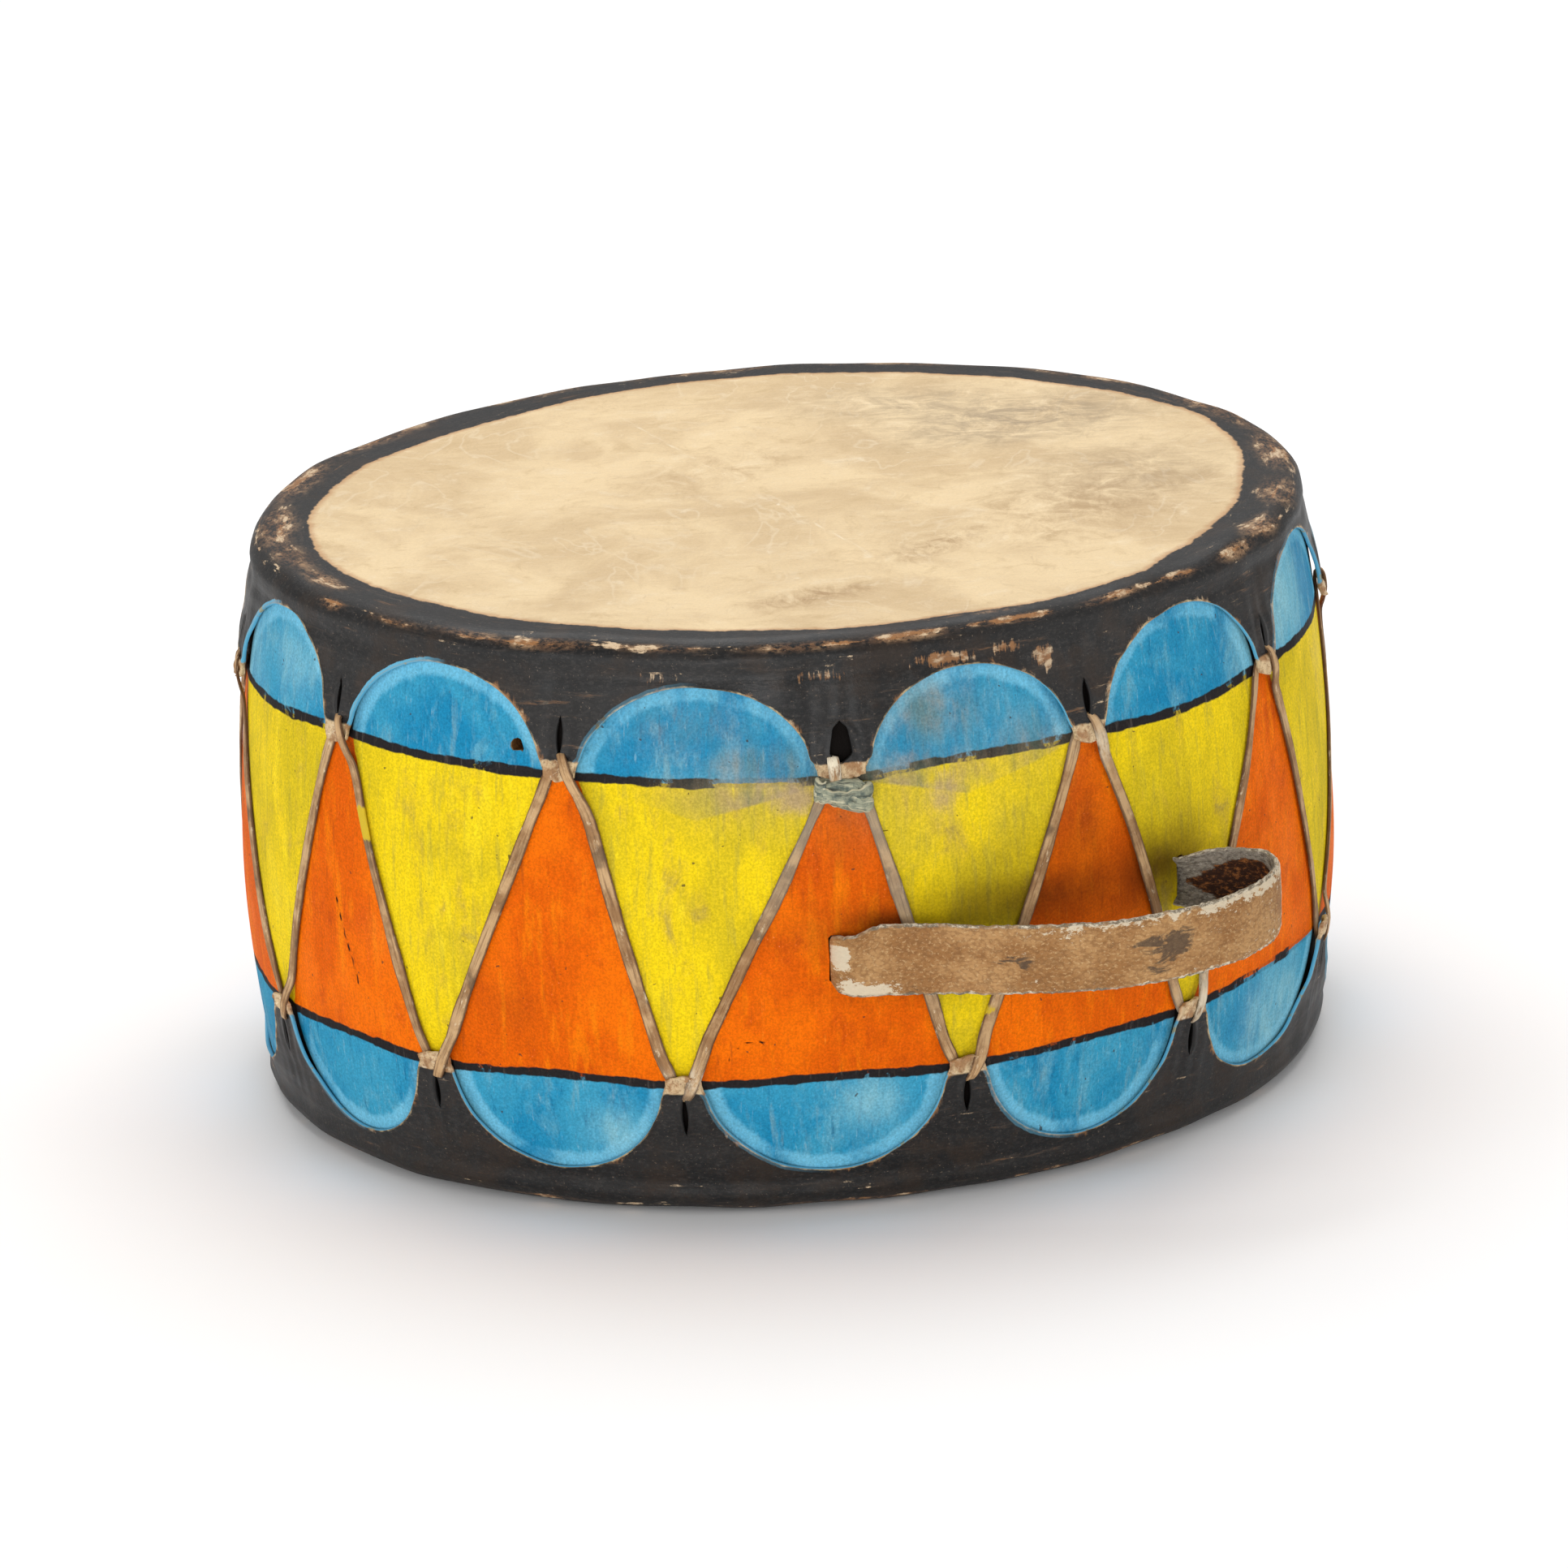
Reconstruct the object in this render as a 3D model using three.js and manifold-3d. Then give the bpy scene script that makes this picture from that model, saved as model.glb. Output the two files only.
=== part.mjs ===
// A double-headed log drum: a hollowed oval log, a rawhide skin over each end, one thong laced in a
// zigzag through slits in the skins' tabs, and a leather carrying strap held by toggles inside.
// Millimetres. +X is to the right, +Y to the back and +Z up. The origin is the middle of the bottom
// skin's flat face, which the drum stands on.
import * as THREE from 'three';
import { mergeVertices } from 'three/addons/utils/BufferGeometryUtils.js';
import Module from 'manifold-3d';

const wasm = await Module();
wasm.setup();

// ---------------------------------------------------------------- driving dimensions
const HEIGHT = 194; // over both skins
const HALF_LONG = 186; // the oval log's longer half-width, at mid height
const HALF_SHORT = 169.5; // and its shorter one
const OVAL_TURN = 22; // degrees from +X to the oval's long axis
const BELLY = 9.1; // how far the log draws in from mid height to either end
const WALL = 13; // thickness of the log's wall
const HIDE = 1.6; // thickness of the rawhide skins
const GAP = 0.3; // clearance between pieces that touch
const RIM_RADIUS = 8; // the skin's rounded shoulder
const SHELL_COLUMNS = 72;
const SHOULDER_TURNS = [0, 45, 90]; // degrees round the rounded shoulder
const OUTER_STEP = 45; // height, from either end, of the wall's outer and inner steps
const INNER_STEP = 60;

// Angles are in degrees around the drum, from the front (-Y) towards the right (+X).
const TOP_TABS = [-79, -52.6, -24.4, 5.7, 34.7, 64.6, 93, 123.5, 154, 185, 216, 248];
const BOTTOM_TABS = [-65.8, -40.4, -12.4, 18.6, 48.5, 77.8, 108, 138.5, 169.5, 200.5, 232, 264.5];
const TOP_TAB_END = 44; // distance of a tab's end from its own skin's flat face
const BOTTOM_TAB_END = 48.8;
const TAB_HALF_ANGLE = 2.1;
const TAB_POINT = 1.5; // how far the middle of a tab's end reaches past its corners
const SCALLOP_TOP = 12.5; // distance from the flat face of the arch cut between two tabs
const SCALLOP_STEPS = 5;
const SIDE_SHARES = [0.45, 0.72, 1]; // a skin's steps from the shoulder to its cut edge
const TAB_LIFT = 1.8; // room under a tab for the thong
const LIFT_START = 22; // depth below the face where a tab starts to lift
const LIFT_END = 34;
// The slit in a tab, with heights from the tab's end: a teardrop with its foot's corners cut off.
const SLIT = { top: 20.5, widest: 10.2, shoulder: 6.2, foot: 5.2, width: 3.8, corner: 0.6, depth: 14 };

const THONG_WIDTH = 4.4;
const THONG_THICKNESS = 1.3;
const THONG_SQUEEZED = 3; // its width where it is pulled through a slit
const THONG_OFF = 1; // the thong's middle above the log
const THONG_OVER = 4.7; // and where it lies over a tab
const SPLICED_TAB = 3; // the top tab under which the thong's two ends meet
const LEG_STEPS = 5;

// The wrapped lump over the thong's two ends, with its middle below the tab's end and off the log.
const BINDING = { length: 10.4, radius: 4.4, flat: 0.8, off: 4, drop: 6, slack: 0.5 };

const VENT = { angle: -29.5, height: 158.4, radius: 2.2 };
const STRAP_WIDTH = 22;
const STRAP_THICKNESS = 2.6;
const STRAP_AT_SLIT = 19; // the strap's width where it passes the wall
const STRAP_AT_FLEX = 9; // and at the two lines where it flexes
const STRAP_SLIT = { width: 3.8, height: 24.5 };
const LEFT_SLIT = { angle: 4.2, height: 88, side: -1 };
const RIGHT_SLIT = { angle: 47.3, height: 92.4, side: 1 };
const TOGGLE = { radius: 4.5, length: 46 };
const COIL_END = 285; // degrees that a strap end wraps round its toggle
const COIL_STEPS = 9;
const MOUTH_DEPTH = 1; // where a strap end meets the log's outside, inside its surface

// The strap's middle line outside the log, seen from above, with its height.
const STRAP_LEFT = [[14.2, -172.7, 88], [18.5, -173.8, 88], [25, -174.2, 88], [33, -174.8, 88.2]];
const LEFT_FLEX = [[42, -175.6, 88.4], [44.5, -175.9, 88.5]];
const STRAP_LOOP = [
  [54, -177.6, 88.7], [66, -179.8, 89], [78, -181.2, 89.2], [91, -181.3, 89.4], [104, -179.9, 89.7],
  [116, -176.8, 90], [127, -172, 90.3], [138, -165, 90.7], [148, -155.5, 91], [154.6, -144.5, 91.4],
  [156.6, -134.5, 91.7], [154.6, -126.8, 92], [149, -122.4, 92.2],
];
const RIGHT_FLEX = [[141.2, -120.9, 92.3], [138.8, -120.6, 92.3]];
const STRAP_RIGHT = [[135, -120.2, 92.4], [131.4, -119.4, 92.4]];

const COLOURS = {
  paintedLog: { color: 0xe0a02a, roughness: 0.75 },
  skin: { color: 0xcdb08a, roughness: 0.6 },
  thong: { color: 0xb08f6c, roughness: 0.7 },
  binding: { color: 0xa3a08c, roughness: 0.75 },
  strap: { color: 0xa27f56, roughness: 0.7 },
  peg: { color: 0x9a7450, roughness: 0.7 },
};

// ---------------------------------------------------------------- the oval log's surface
const radians = THREE.MathUtils.degToRad;

// A point at an angle around the drum and a height, `out` millimetres beyond the mid-height oval.
function ovalPoint(angle, height, out) {
  const turn = radians(angle - 90 - OVAL_TURN);
  const a = HALF_LONG + out;
  const b = HALF_SHORT + out;
  const radius = 1 / Math.hypot(Math.cos(turn) / a, Math.sin(turn) / b);
  return outward(angle).multiplyScalar(radius).setZ(height);
}

function outward(angle) {
  return new THREE.Vector3(Math.sin(radians(angle)), -Math.cos(radians(angle)), 0);
}

function sideways(angle) {
  return new THREE.Vector3(Math.cos(radians(angle)), Math.sin(radians(angle)), 0);
}

// How far the log's outside stands beyond the mid-height oval at a height: none at mid height.
function logSide(height) {
  const k = (2 * height) / HEIGHT - 1;
  return -BELLY * k * k;
}

const SHOULDER = HEIGHT - RIM_RADIUS; // where the side ends and the rounded shoulder starts
const SHOULDER_OUT = logSide(SHOULDER) + GAP + HIDE - RIM_RADIUS;

// ---------------------------------------------------------------- solids from grids of points
function solidFrom(points, triangles) {
  const geometry = new THREE.BufferGeometry();
  geometry.setAttribute('position', new THREE.Float32BufferAttribute(points.flatMap((p) => p.toArray()), 3));
  geometry.setIndex(triangles);
  return geometry;
}

// Joins rings of equal length one after another. A closed stack joins its last ring to its first, and
// an open one has a flat cap at each end.
function skinRings(rings, closed) {
  const n = rings[0].length;
  const points = rings.flat();
  const triangles = [];
  const last = closed ? rings.length : rings.length - 1;
  for (let i = 0; i < last; i += 1) {
    const next = (i + 1) % rings.length;
    for (let j = 0; j < n; j += 1) {
      const k = (j + 1) % n;
      triangles.push(i * n + j, i * n + k, next * n + k);
      triangles.push(i * n + j, next * n + k, next * n + j);
    }
  }
  if (!closed) {
    for (let j = 1; j < n - 1; j += 1) {
      triangles.push(0, j + 1, j);
      triangles.push(last * n, last * n + j, last * n + j + 1);
    }
  }
  return solidFrom(points, triangles);
}

// Turns a solid's triangles over, for one that was mirrored or built inside out.
function flipFaces(geometry) {
  const index = geometry.index.array;
  for (let i = 0; i < index.length; i += 3) {
    [index[i], index[i + 1]] = [index[i + 1], index[i]];
  }
  return geometry;
}

function toManifold(geometry) {
  const bare = geometry.clone();
  bare.deleteAttribute('normal');
  bare.deleteAttribute('uv');
  const merged = mergeVertices(bare, 1e-4);
  return new wasm.Manifold(new wasm.Mesh({
    numProp: 3,
    vertProperties: new Float32Array(merged.attributes.position.array),
    triVerts: new Uint32Array(merged.index.array),
  }));
}

function fromManifold(solid) {
  const { vertProperties, triVerts } = solid.getMesh();
  const geometry = new THREE.BufferGeometry();
  geometry.setAttribute('position', new THREE.BufferAttribute(new Float32Array(vertProperties), 3));
  geometry.setIndex(new THREE.BufferAttribute(new Uint32Array(triVerts), 1));
  return geometry;
}

function cutAway(geometry, cutters) {
  let solid = toManifold(geometry);
  for (const cutter of cutters) {
    solid = solid.subtract(toManifold(cutter));
  }
  return fromManifold(solid);
}

// A band swept through stations of { at, lay, width, thickness }. Its width runs along `lay`, squared to
// the way, and `section` is the band's outline in shares of its width and thickness.
function sweepBand(stations, section) {
  const rings = stations.map((station, i) => {
    const before = stations[Math.max(i - 1, 0)].at;
    const after = stations[Math.min(i + 1, stations.length - 1)].at;
    const along = after.clone().sub(before).normalize();
    const wide = station.lay.clone().addScaledVector(along, -station.lay.dot(along)).normalize();
    const thick = along.clone().cross(wide);
    return section.map(([w, t]) => station.at.clone()
      .addScaledVector(wide, w * station.width)
      .addScaledVector(thick, t * station.thickness));
  });
  return skinRings(rings, false);
}

const THONG_SECTION = [[0.5, 0], [0.36, 0.5], [-0.36, 0.5], [-0.5, 0], [-0.36, -0.5], [0.36, -0.5]];
const STRAP_SECTION = [[0.5, -0.5], [0.5, 0.5], [-0.5, 0.5], [-0.5, -0.5]];

// ---------------------------------------------------------------- log
// The outline of the log's wall in a column: outside, top end, inside and bottom end.
function wallColumn(angle) {
  const edge = RIM_RADIUS - HIDE - GAP;
  const column = [];
  for (const turn of SHOULDER_TURNS) {
    const out = SHOULDER_OUT + edge * Math.sin(radians(turn));
    column.push(ovalPoint(angle, RIM_RADIUS - edge * Math.cos(radians(turn)), out));
  }
  for (const height of [OUTER_STEP, HEIGHT / 2, HEIGHT - OUTER_STEP]) {
    column.push(ovalPoint(angle, height, logSide(height)));
  }
  for (const turn of SHOULDER_TURNS.toReversed()) {
    const out = SHOULDER_OUT + edge * Math.sin(radians(turn));
    column.push(ovalPoint(angle, SHOULDER + edge * Math.cos(radians(turn)), out));
  }
  const end = HIDE + GAP;
  for (const height of [HEIGHT - end, HEIGHT - INNER_STEP, HEIGHT / 2, INNER_STEP, end]) {
    column.push(ovalPoint(angle, height, logSide(height) - WALL));
  }
  return column;
}

function strapSlit({ angle, height }) {
  const slit = new THREE.BoxGeometry(STRAP_SLIT.width, 3 * WALL, STRAP_SLIT.height);
  slit.rotateZ(radians(angle));
  const middle = ovalPoint(angle, height, -WALL / 2);
  return slit.translate(middle.x, middle.y, height);
}

function ventHole() {
  const hole = new THREE.CylinderGeometry(VENT.radius, VENT.radius, 3 * WALL, 16);
  hole.rotateZ(radians(VENT.angle));
  const middle = ovalPoint(VENT.angle, VENT.height, -WALL / 2);
  return hole.translate(middle.x, middle.y, VENT.height);
}

function log() {
  const columns = [];
  for (let i = 0; i < SHELL_COLUMNS; i += 1) {
    columns.push(wallColumn((360 * i) / SHELL_COLUMNS));
  }
  const wall = flipFaces(skinRings(columns, true));
  return cutAway(wall, [strapSlit(LEFT_SLIT), strapSlit(RIGHT_SLIT), ventHole()]);
}

// ---------------------------------------------------------------- rawhide skins
// The columns of a skin: each angle with the depth of its cut edge below the face.
function skinColumns(tabs, tabEnd) {
  const columns = [];
  tabs.forEach((tab, i) => {
    const next = i + 1 < tabs.length ? tabs[i + 1] : tabs[0] + 360;
    const middle = (tab + next) / 2;
    const half = (next - tab) / 2 - TAB_HALF_ANGLE;
    columns.push({ angle: tab, edge: tabEnd + TAB_POINT });
    for (let k = -SCALLOP_STEPS; k <= SCALLOP_STEPS; k += 1) {
      const turn = (Math.PI / 2) * (k / SCALLOP_STEPS);
      const edge = THREE.MathUtils.lerp(tabEnd, SCALLOP_TOP, Math.cos(turn));
      columns.push({ angle: middle + half * Math.sin(turn), edge });
    }
  });
  return columns;
}

// The outline of one face of a skin in a column, from the rim's flat to the cut edge, `inset` mm
// inside the skin's outer face. Depth is measured from the flat face.
function skinFace(column, inset) {
  const radius = RIM_RADIUS - inset;
  const face = SHOULDER_TURNS.map((turn) => ({
    out: SHOULDER_OUT + radius * Math.sin(radians(turn)),
    depth: RIM_RADIUS - radius * Math.cos(radians(turn)),
  }));
  for (const share of SIDE_SHARES) {
    const depth = THREE.MathUtils.lerp(RIM_RADIUS, column.edge, share);
    const lift = TAB_LIFT * THREE.MathUtils.smoothstep(depth, LIFT_START, LIFT_END);
    face.push({ out: logSide(HEIGHT - depth) + GAP + HIDE - inset + lift, depth });
  }
  return face;
}

function slitCutter(tab, tabEnd) {
  const outline = new THREE.Shape();
  const side = SLIT.width / 2;
  outline.moveTo(0, SLIT.top);
  outline.quadraticCurveTo(side, SLIT.widest, side, SLIT.shoulder);
  outline.lineTo(side - SLIT.corner, SLIT.foot);
  outline.lineTo(SLIT.corner - side, SLIT.foot);
  outline.lineTo(-side, SLIT.shoulder);
  outline.quadraticCurveTo(-side, SLIT.widest, 0, SLIT.top);
  const cutter = new THREE.ExtrudeGeometry(outline, {
    depth: SLIT.depth,
    bevelEnabled: false,
    curveSegments: 3,
  });
  cutter.translate(0, 0, -SLIT.depth / 2);
  cutter.rotateX(Math.PI / 2);
  cutter.rotateZ(radians(tab));
  const foot = ovalPoint(tab, HEIGHT - tabEnd, logSide(HEIGHT - tabEnd) + TAB_LIFT);
  return cutter.translate(foot.x, foot.y, foot.z);
}

// A skin over the log's top. `tabs` are the angles of its tabs, which end `tabEnd` mm below the face.
function skin(tabs, tabEnd) {
  const columns = skinColumns(tabs, tabEnd);
  const faces = columns.map((column) => {
    const outer = skinFace(column, 0);
    const inner = skinFace(column, HIDE).toReversed();
    return [...outer, ...inner].map(({ out, depth }) => ovalPoint(column.angle, HEIGHT - depth, out));
  });
  const n = faces[0].length;
  const points = faces.flat();
  const outerPole = points.length;
  const innerPole = outerPole + 1;
  points.push(new THREE.Vector3(0, 0, HEIGHT), new THREE.Vector3(0, 0, HEIGHT - HIDE));
  const triangles = [];
  for (let i = 0; i < columns.length; i += 1) {
    const here = i * n;
    const next = ((i + 1) % columns.length) * n;
    triangles.push(outerPole, here, next);
    triangles.push(innerPole, next + n - 1, here + n - 1);
    for (let j = 0; j < n - 1; j += 1) {
      triangles.push(here + j, here + j + 1, next + j + 1);
      triangles.push(here + j, next + j + 1, next + j);
    }
  }
  return cutAway(solidFrom(points, triangles), tabs.map((tab) => slitCutter(tab, tabEnd)));
}

// The bottom skin is made as a top one and turned upside down through mid height.
function bottomSkin() {
  return flipFaces(skin(BOTTOM_TABS, BOTTOM_TAB_END).scale(1, 1, -1).translate(0, 0, HEIGHT));
}

// ---------------------------------------------------------------- thong
// The thong's turn round a tab, as [across, past the tab's end, off the log, width]: it goes under the
// tab, out through the slit and back over the tab's end, always from left to right.
const TURN = [
  [-5, -8, THONG_OFF, THONG_WIDTH],
  [-2.6, -1, THONG_OFF, THONG_WIDTH],
  [-0.7, 4.4, THONG_OFF, THONG_SQUEEZED],
  [0, 7.6, 1.15, THONG_SQUEEZED],
  [0, 9.3, 1.9, THONG_SQUEEZED],
  [0, 9.9, 2.85, THONG_SQUEEZED],
  [0, 9.3, 3.8, THONG_SQUEEZED],
  [0, 7.6, 4.55, THONG_SQUEEZED],
  [0.7, 4.4, THONG_OVER, THONG_SQUEEZED],
  [2.6, -1.5, THONG_OVER, THONG_WIDTH],
  [4.8, -8, 2.6, THONG_WIDTH],
  [7, -14, THONG_OFF, THONG_WIDTH],
];
// Where the thong's second end stops, inside the binding, on the same way as the last stations above.
const THONG_STOP = [3.7, -4.75, 3.65, THONG_WIDTH];

function turnStation(angle, top, [across, past, off, width]) {
  const height = top ? HEIGHT - TOP_TAB_END + past : BOTTOM_TAB_END - past;
  const radius = ovalPoint(angle, height, 0).setZ(0).length();
  return { angle: angle + THREE.MathUtils.radToDeg(across / radius), height, off, width };
}

function turnStations(angle, top) {
  return TURN.map((station) => turnStation(angle, top, station));
}

// Stations strictly between two others, on the straight way over the log's side.
function legStations(from, to) {
  const leg = [];
  for (let i = 1; i < LEG_STEPS; i += 1) {
    const share = i / LEG_STEPS;
    leg.push({
      angle: THREE.MathUtils.lerp(from.angle, to.angle, share),
      height: THREE.MathUtils.lerp(from.height, to.height, share),
      off: THONG_OFF,
      width: THONG_WIDTH,
    });
  }
  return leg;
}

// A tab's angle when tabs are counted on past one lap of the drum.
function tabAngle(tabs, count) {
  return tabs[count % tabs.length] + 360 * Math.floor(count / tabs.length);
}

// The whole lacing, once round the drum from the spliced tab back to it. Both ends stop inside the
// binding, below that tab.
function lacingStations() {
  const lap = TOP_TABS.length;
  const stations = turnStations(tabAngle(TOP_TABS, SPLICED_TAB), true).slice(-2);
  for (let count = SPLICED_TAB; count < SPLICED_TAB + lap; count += 1) {
    const below = turnStations(tabAngle(BOTTOM_TABS, count), false);
    const above = turnStations(tabAngle(TOP_TABS, count + 1), true);
    stations.push(...legStations(stations.at(-1), below[0]), ...below);
    stations.push(...legStations(stations.at(-1), above[0]), ...above);
  }
  stations.splice(-2);
  stations.push(turnStation(tabAngle(TOP_TABS, SPLICED_TAB + lap), true, THONG_STOP));
  return stations;
}

function thongBand(stations, clearance) {
  return sweepBand(stations.map(({ angle, height, off, width }) => ({
    at: ovalPoint(angle, height, logSide(height) + off),
    lay: sideways(angle),
    width: width + 2 * clearance,
    thickness: THONG_THICKNESS + 2 * clearance,
  })), THONG_SECTION);
}

function lacing() {
  return thongBand(lacingStations(), 0);
}

// ---------------------------------------------------------------- binding over the thong's two ends
function binding() {
  const angle = TOP_TABS[SPLICED_TAB];
  const height = HEIGHT - TOP_TAB_END - BINDING.drop;
  const lump = new THREE.CapsuleGeometry(BINDING.radius, BINDING.length, 4, 14);
  lump.rotateZ(Math.PI / 2);
  lump.scale(1, BINDING.flat, 1);
  lump.rotateZ(radians(angle));
  const middle = ovalPoint(angle, height, logSide(height) + BINDING.off);
  lump.translate(middle.x, middle.y, height);
  const turn = turnStations(angle, true);
  const stations = lacingStations();
  const firstLeg = stations[2];
  const lastLeg = stations.at(-TURN.length);
  const channels = [[lastLeg, ...turn.slice(0, 3)], [...turn.slice(-4), firstLeg]];
  return cutAway(lump, channels.map((channel) => thongBand(channel, BINDING.slack)));
}

// ---------------------------------------------------------------- carrying strap and its toggles
function strapBand(points) {
  return sweepBand(points.map(({ at, width }) => ({
    at,
    lay: new THREE.Vector3(0, 0, 1),
    width,
    thickness: STRAP_THICKNESS,
  })), STRAP_SECTION);
}

const routePoint = (width) => ([x, y, z]) => ({ at: new THREE.Vector3(x, y, z), width });

// The toggle's axis stands beside the line of the slit, against the wall's inside.
function toggleAxis({ angle, height, side }) {
  const ring = TOGGLE.radius + GAP + STRAP_THICKNESS / 2;
  const wall = ovalPoint(angle, height, logSide(height) - WALL);
  return wall
    .addScaledVector(outward(angle), -(ring + STRAP_THICKNESS / 2 + 2 * GAP))
    .addScaledVector(sideways(angle), side * ring);
}

// The strap's end inside the log, from the tip round its toggle and out through the slit.
function strapTail(slit) {
  const ring = TOGGLE.radius + GAP + STRAP_THICKNESS / 2;
  const axis = toggleAxis(slit);
  const tail = [];
  for (let i = COIL_STEPS; i >= 0; i -= 1) {
    const turn = radians((COIL_END * i) / COIL_STEPS);
    tail.push({
      at: axis.clone()
        .addScaledVector(sideways(slit.angle), -slit.side * ring * Math.cos(turn))
        .addScaledVector(outward(slit.angle), -ring * Math.sin(turn)),
      width: STRAP_AT_SLIT,
    });
  }
  const mouth = ovalPoint(slit.angle, slit.height, logSide(slit.height) - MOUTH_DEPTH);
  tail.push({ at: mouth, width: STRAP_AT_SLIT });
  return tail;
}

function strapEndLeft() {
  const outside = STRAP_LEFT.map(routePoint(STRAP_WIDTH));
  return strapBand([...strapTail(LEFT_SLIT), ...outside, routePoint(STRAP_AT_FLEX)(LEFT_FLEX[0])]);
}

function strapLoop() {
  return strapBand([
    routePoint(STRAP_AT_FLEX)(LEFT_FLEX[1]),
    ...STRAP_LOOP.map(routePoint(STRAP_WIDTH)),
    routePoint(STRAP_AT_FLEX)(RIGHT_FLEX[0]),
  ]);
}

function strapEndRight() {
  const outside = STRAP_RIGHT.map(routePoint(STRAP_AT_SLIT));
  return strapBand([
    routePoint(STRAP_AT_FLEX)(RIGHT_FLEX[1]),
    ...outside,
    ...strapTail(RIGHT_SLIT).toReversed(),
  ]);
}

function toggle(slit) {
  const peg = new THREE.CylinderGeometry(TOGGLE.radius, TOGGLE.radius, TOGGLE.length, 16);
  peg.rotateX(Math.PI / 2);
  const axis = toggleAxis(slit);
  return peg.translate(axis.x, axis.y, slit.height);
}

// ---------------------------------------------------------------- assembly
function piece(name, geometry, { color, roughness }) {
  const mesh = new THREE.Mesh(geometry, new THREE.MeshStandardMaterial({ color, roughness, metalness: 0 }));
  mesh.name = name;
  return mesh;
}

const drum = new THREE.Group();
drum.add(
  piece('log_shell', log(), COLOURS.paintedLog),
  piece('top_skin', skin(TOP_TABS, TOP_TAB_END), COLOURS.skin),
  piece('bottom_skin', bottomSkin(), COLOURS.skin),
  piece('lacing_thong', lacing(), COLOURS.thong),
  piece('splice_binding', binding(), COLOURS.binding),
  piece('strap_end_left', strapEndLeft(), COLOURS.strap),
  piece('strap_loop', strapLoop(), COLOURS.strap),
  piece('strap_end_right', strapEndRight(), COLOURS.strap),
  piece('toggle_left', toggle(LEFT_SLIT), COLOURS.peg),
  piece('toggle_right', toggle(RIGHT_SLIT), COLOURS.peg),
);

export default drum;
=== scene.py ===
import math

import bpy
import numpy as np
from mathutils import Matrix, Vector


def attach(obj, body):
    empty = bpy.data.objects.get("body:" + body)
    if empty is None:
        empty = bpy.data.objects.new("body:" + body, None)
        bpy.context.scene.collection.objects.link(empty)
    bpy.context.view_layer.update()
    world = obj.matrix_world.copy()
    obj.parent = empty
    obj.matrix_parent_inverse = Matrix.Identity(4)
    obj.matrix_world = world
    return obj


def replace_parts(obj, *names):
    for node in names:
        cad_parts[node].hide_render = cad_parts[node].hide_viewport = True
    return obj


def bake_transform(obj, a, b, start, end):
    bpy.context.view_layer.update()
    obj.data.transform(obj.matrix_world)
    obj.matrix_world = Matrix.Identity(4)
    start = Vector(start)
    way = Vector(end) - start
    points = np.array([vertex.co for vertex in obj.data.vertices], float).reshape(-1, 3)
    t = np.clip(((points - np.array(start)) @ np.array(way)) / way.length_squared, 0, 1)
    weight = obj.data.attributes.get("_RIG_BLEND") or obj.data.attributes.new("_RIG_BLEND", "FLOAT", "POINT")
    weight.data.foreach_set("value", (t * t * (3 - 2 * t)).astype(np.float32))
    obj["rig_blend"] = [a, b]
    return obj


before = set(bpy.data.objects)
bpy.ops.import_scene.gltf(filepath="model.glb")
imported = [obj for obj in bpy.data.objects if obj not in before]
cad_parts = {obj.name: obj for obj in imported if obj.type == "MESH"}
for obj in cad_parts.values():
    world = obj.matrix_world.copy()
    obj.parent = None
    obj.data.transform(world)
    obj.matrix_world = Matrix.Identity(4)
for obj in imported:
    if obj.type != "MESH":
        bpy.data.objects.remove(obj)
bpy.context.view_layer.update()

# ---------------------------------------------------------------- the drum's dimensions, in metres
HEIGHT = 0.194
HALF_LONG = 0.186
HALF_SHORT = 0.1695
OVAL_TURN = 22  # degrees from X to the long way across the oval
BELLY = 0.0091  # how much further out the log is at mid-height than at its ends
WALL = 0.013
HIDE = 0.0013
GAP = 0.0003
RIM = 0.008  # the radius of the rounded shoulders
SHOULDER = HEIGHT - RIM
MEAN_RADIUS = 0.176
DEGREE = math.radians(1) * MEAN_RADIUS  # a degree round the drum, in metres

# Angles are in degrees round the drum, from the front (-Y) towards the right (+X).
TOP_TABS = [-79, -52.6, -24.4, 5.7, 34.7, 64.6, 93, 123.5, 154, 185, 216, 248]
BOTTOM_TABS = [-65.8, -40.4, -12.4, 18.6, 48.5, 77.8, 108, 138.5, 169.5, 200.5, 232, 264.5]
TOP_TAB_END = 0.044
BOTTOM_TAB_END = 0.0488
# Half of each tab's width at its end, as an angle.
TOP_HALVES = [2.8, 1.9, 2.0, 3.0, 2.2, 1.9, 2.1, 2.2, 2.0, 2.1, 2.2, 2.1]
BOTTOM_HALVES = [2.1, 2.1, 2.2, 2.3, 2.2, 2.1, 2.2, 2.1, 2.2, 2.0, 2.1, 2.2]
TAB_POINT = 0.0015  # how far the middle of a tab's end is pulled out
# The tabs lift off the log, to leave room for the thong, between two depths.
TAB_LIFT = 0.0011
LIFT_START = 0.022
LIFT_END = 0.034
# How far each scallop's arch is from the skin's flat face.
TOP_ARCHES = [0.0100, 0.0122, 0.0145, 0.0140, 0.0115, 0.0095, 0.0125, 0.0135, 0.0115, 0.0130, 0.0120, 0.0115]
BOTTOM_ARCHES = [
    0.0142, 0.0148, 0.0144, 0.0138, 0.0162, 0.0140, 0.0140, 0.0130, 0.0145, 0.0135, 0.0125, 0.0140,
]
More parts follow.
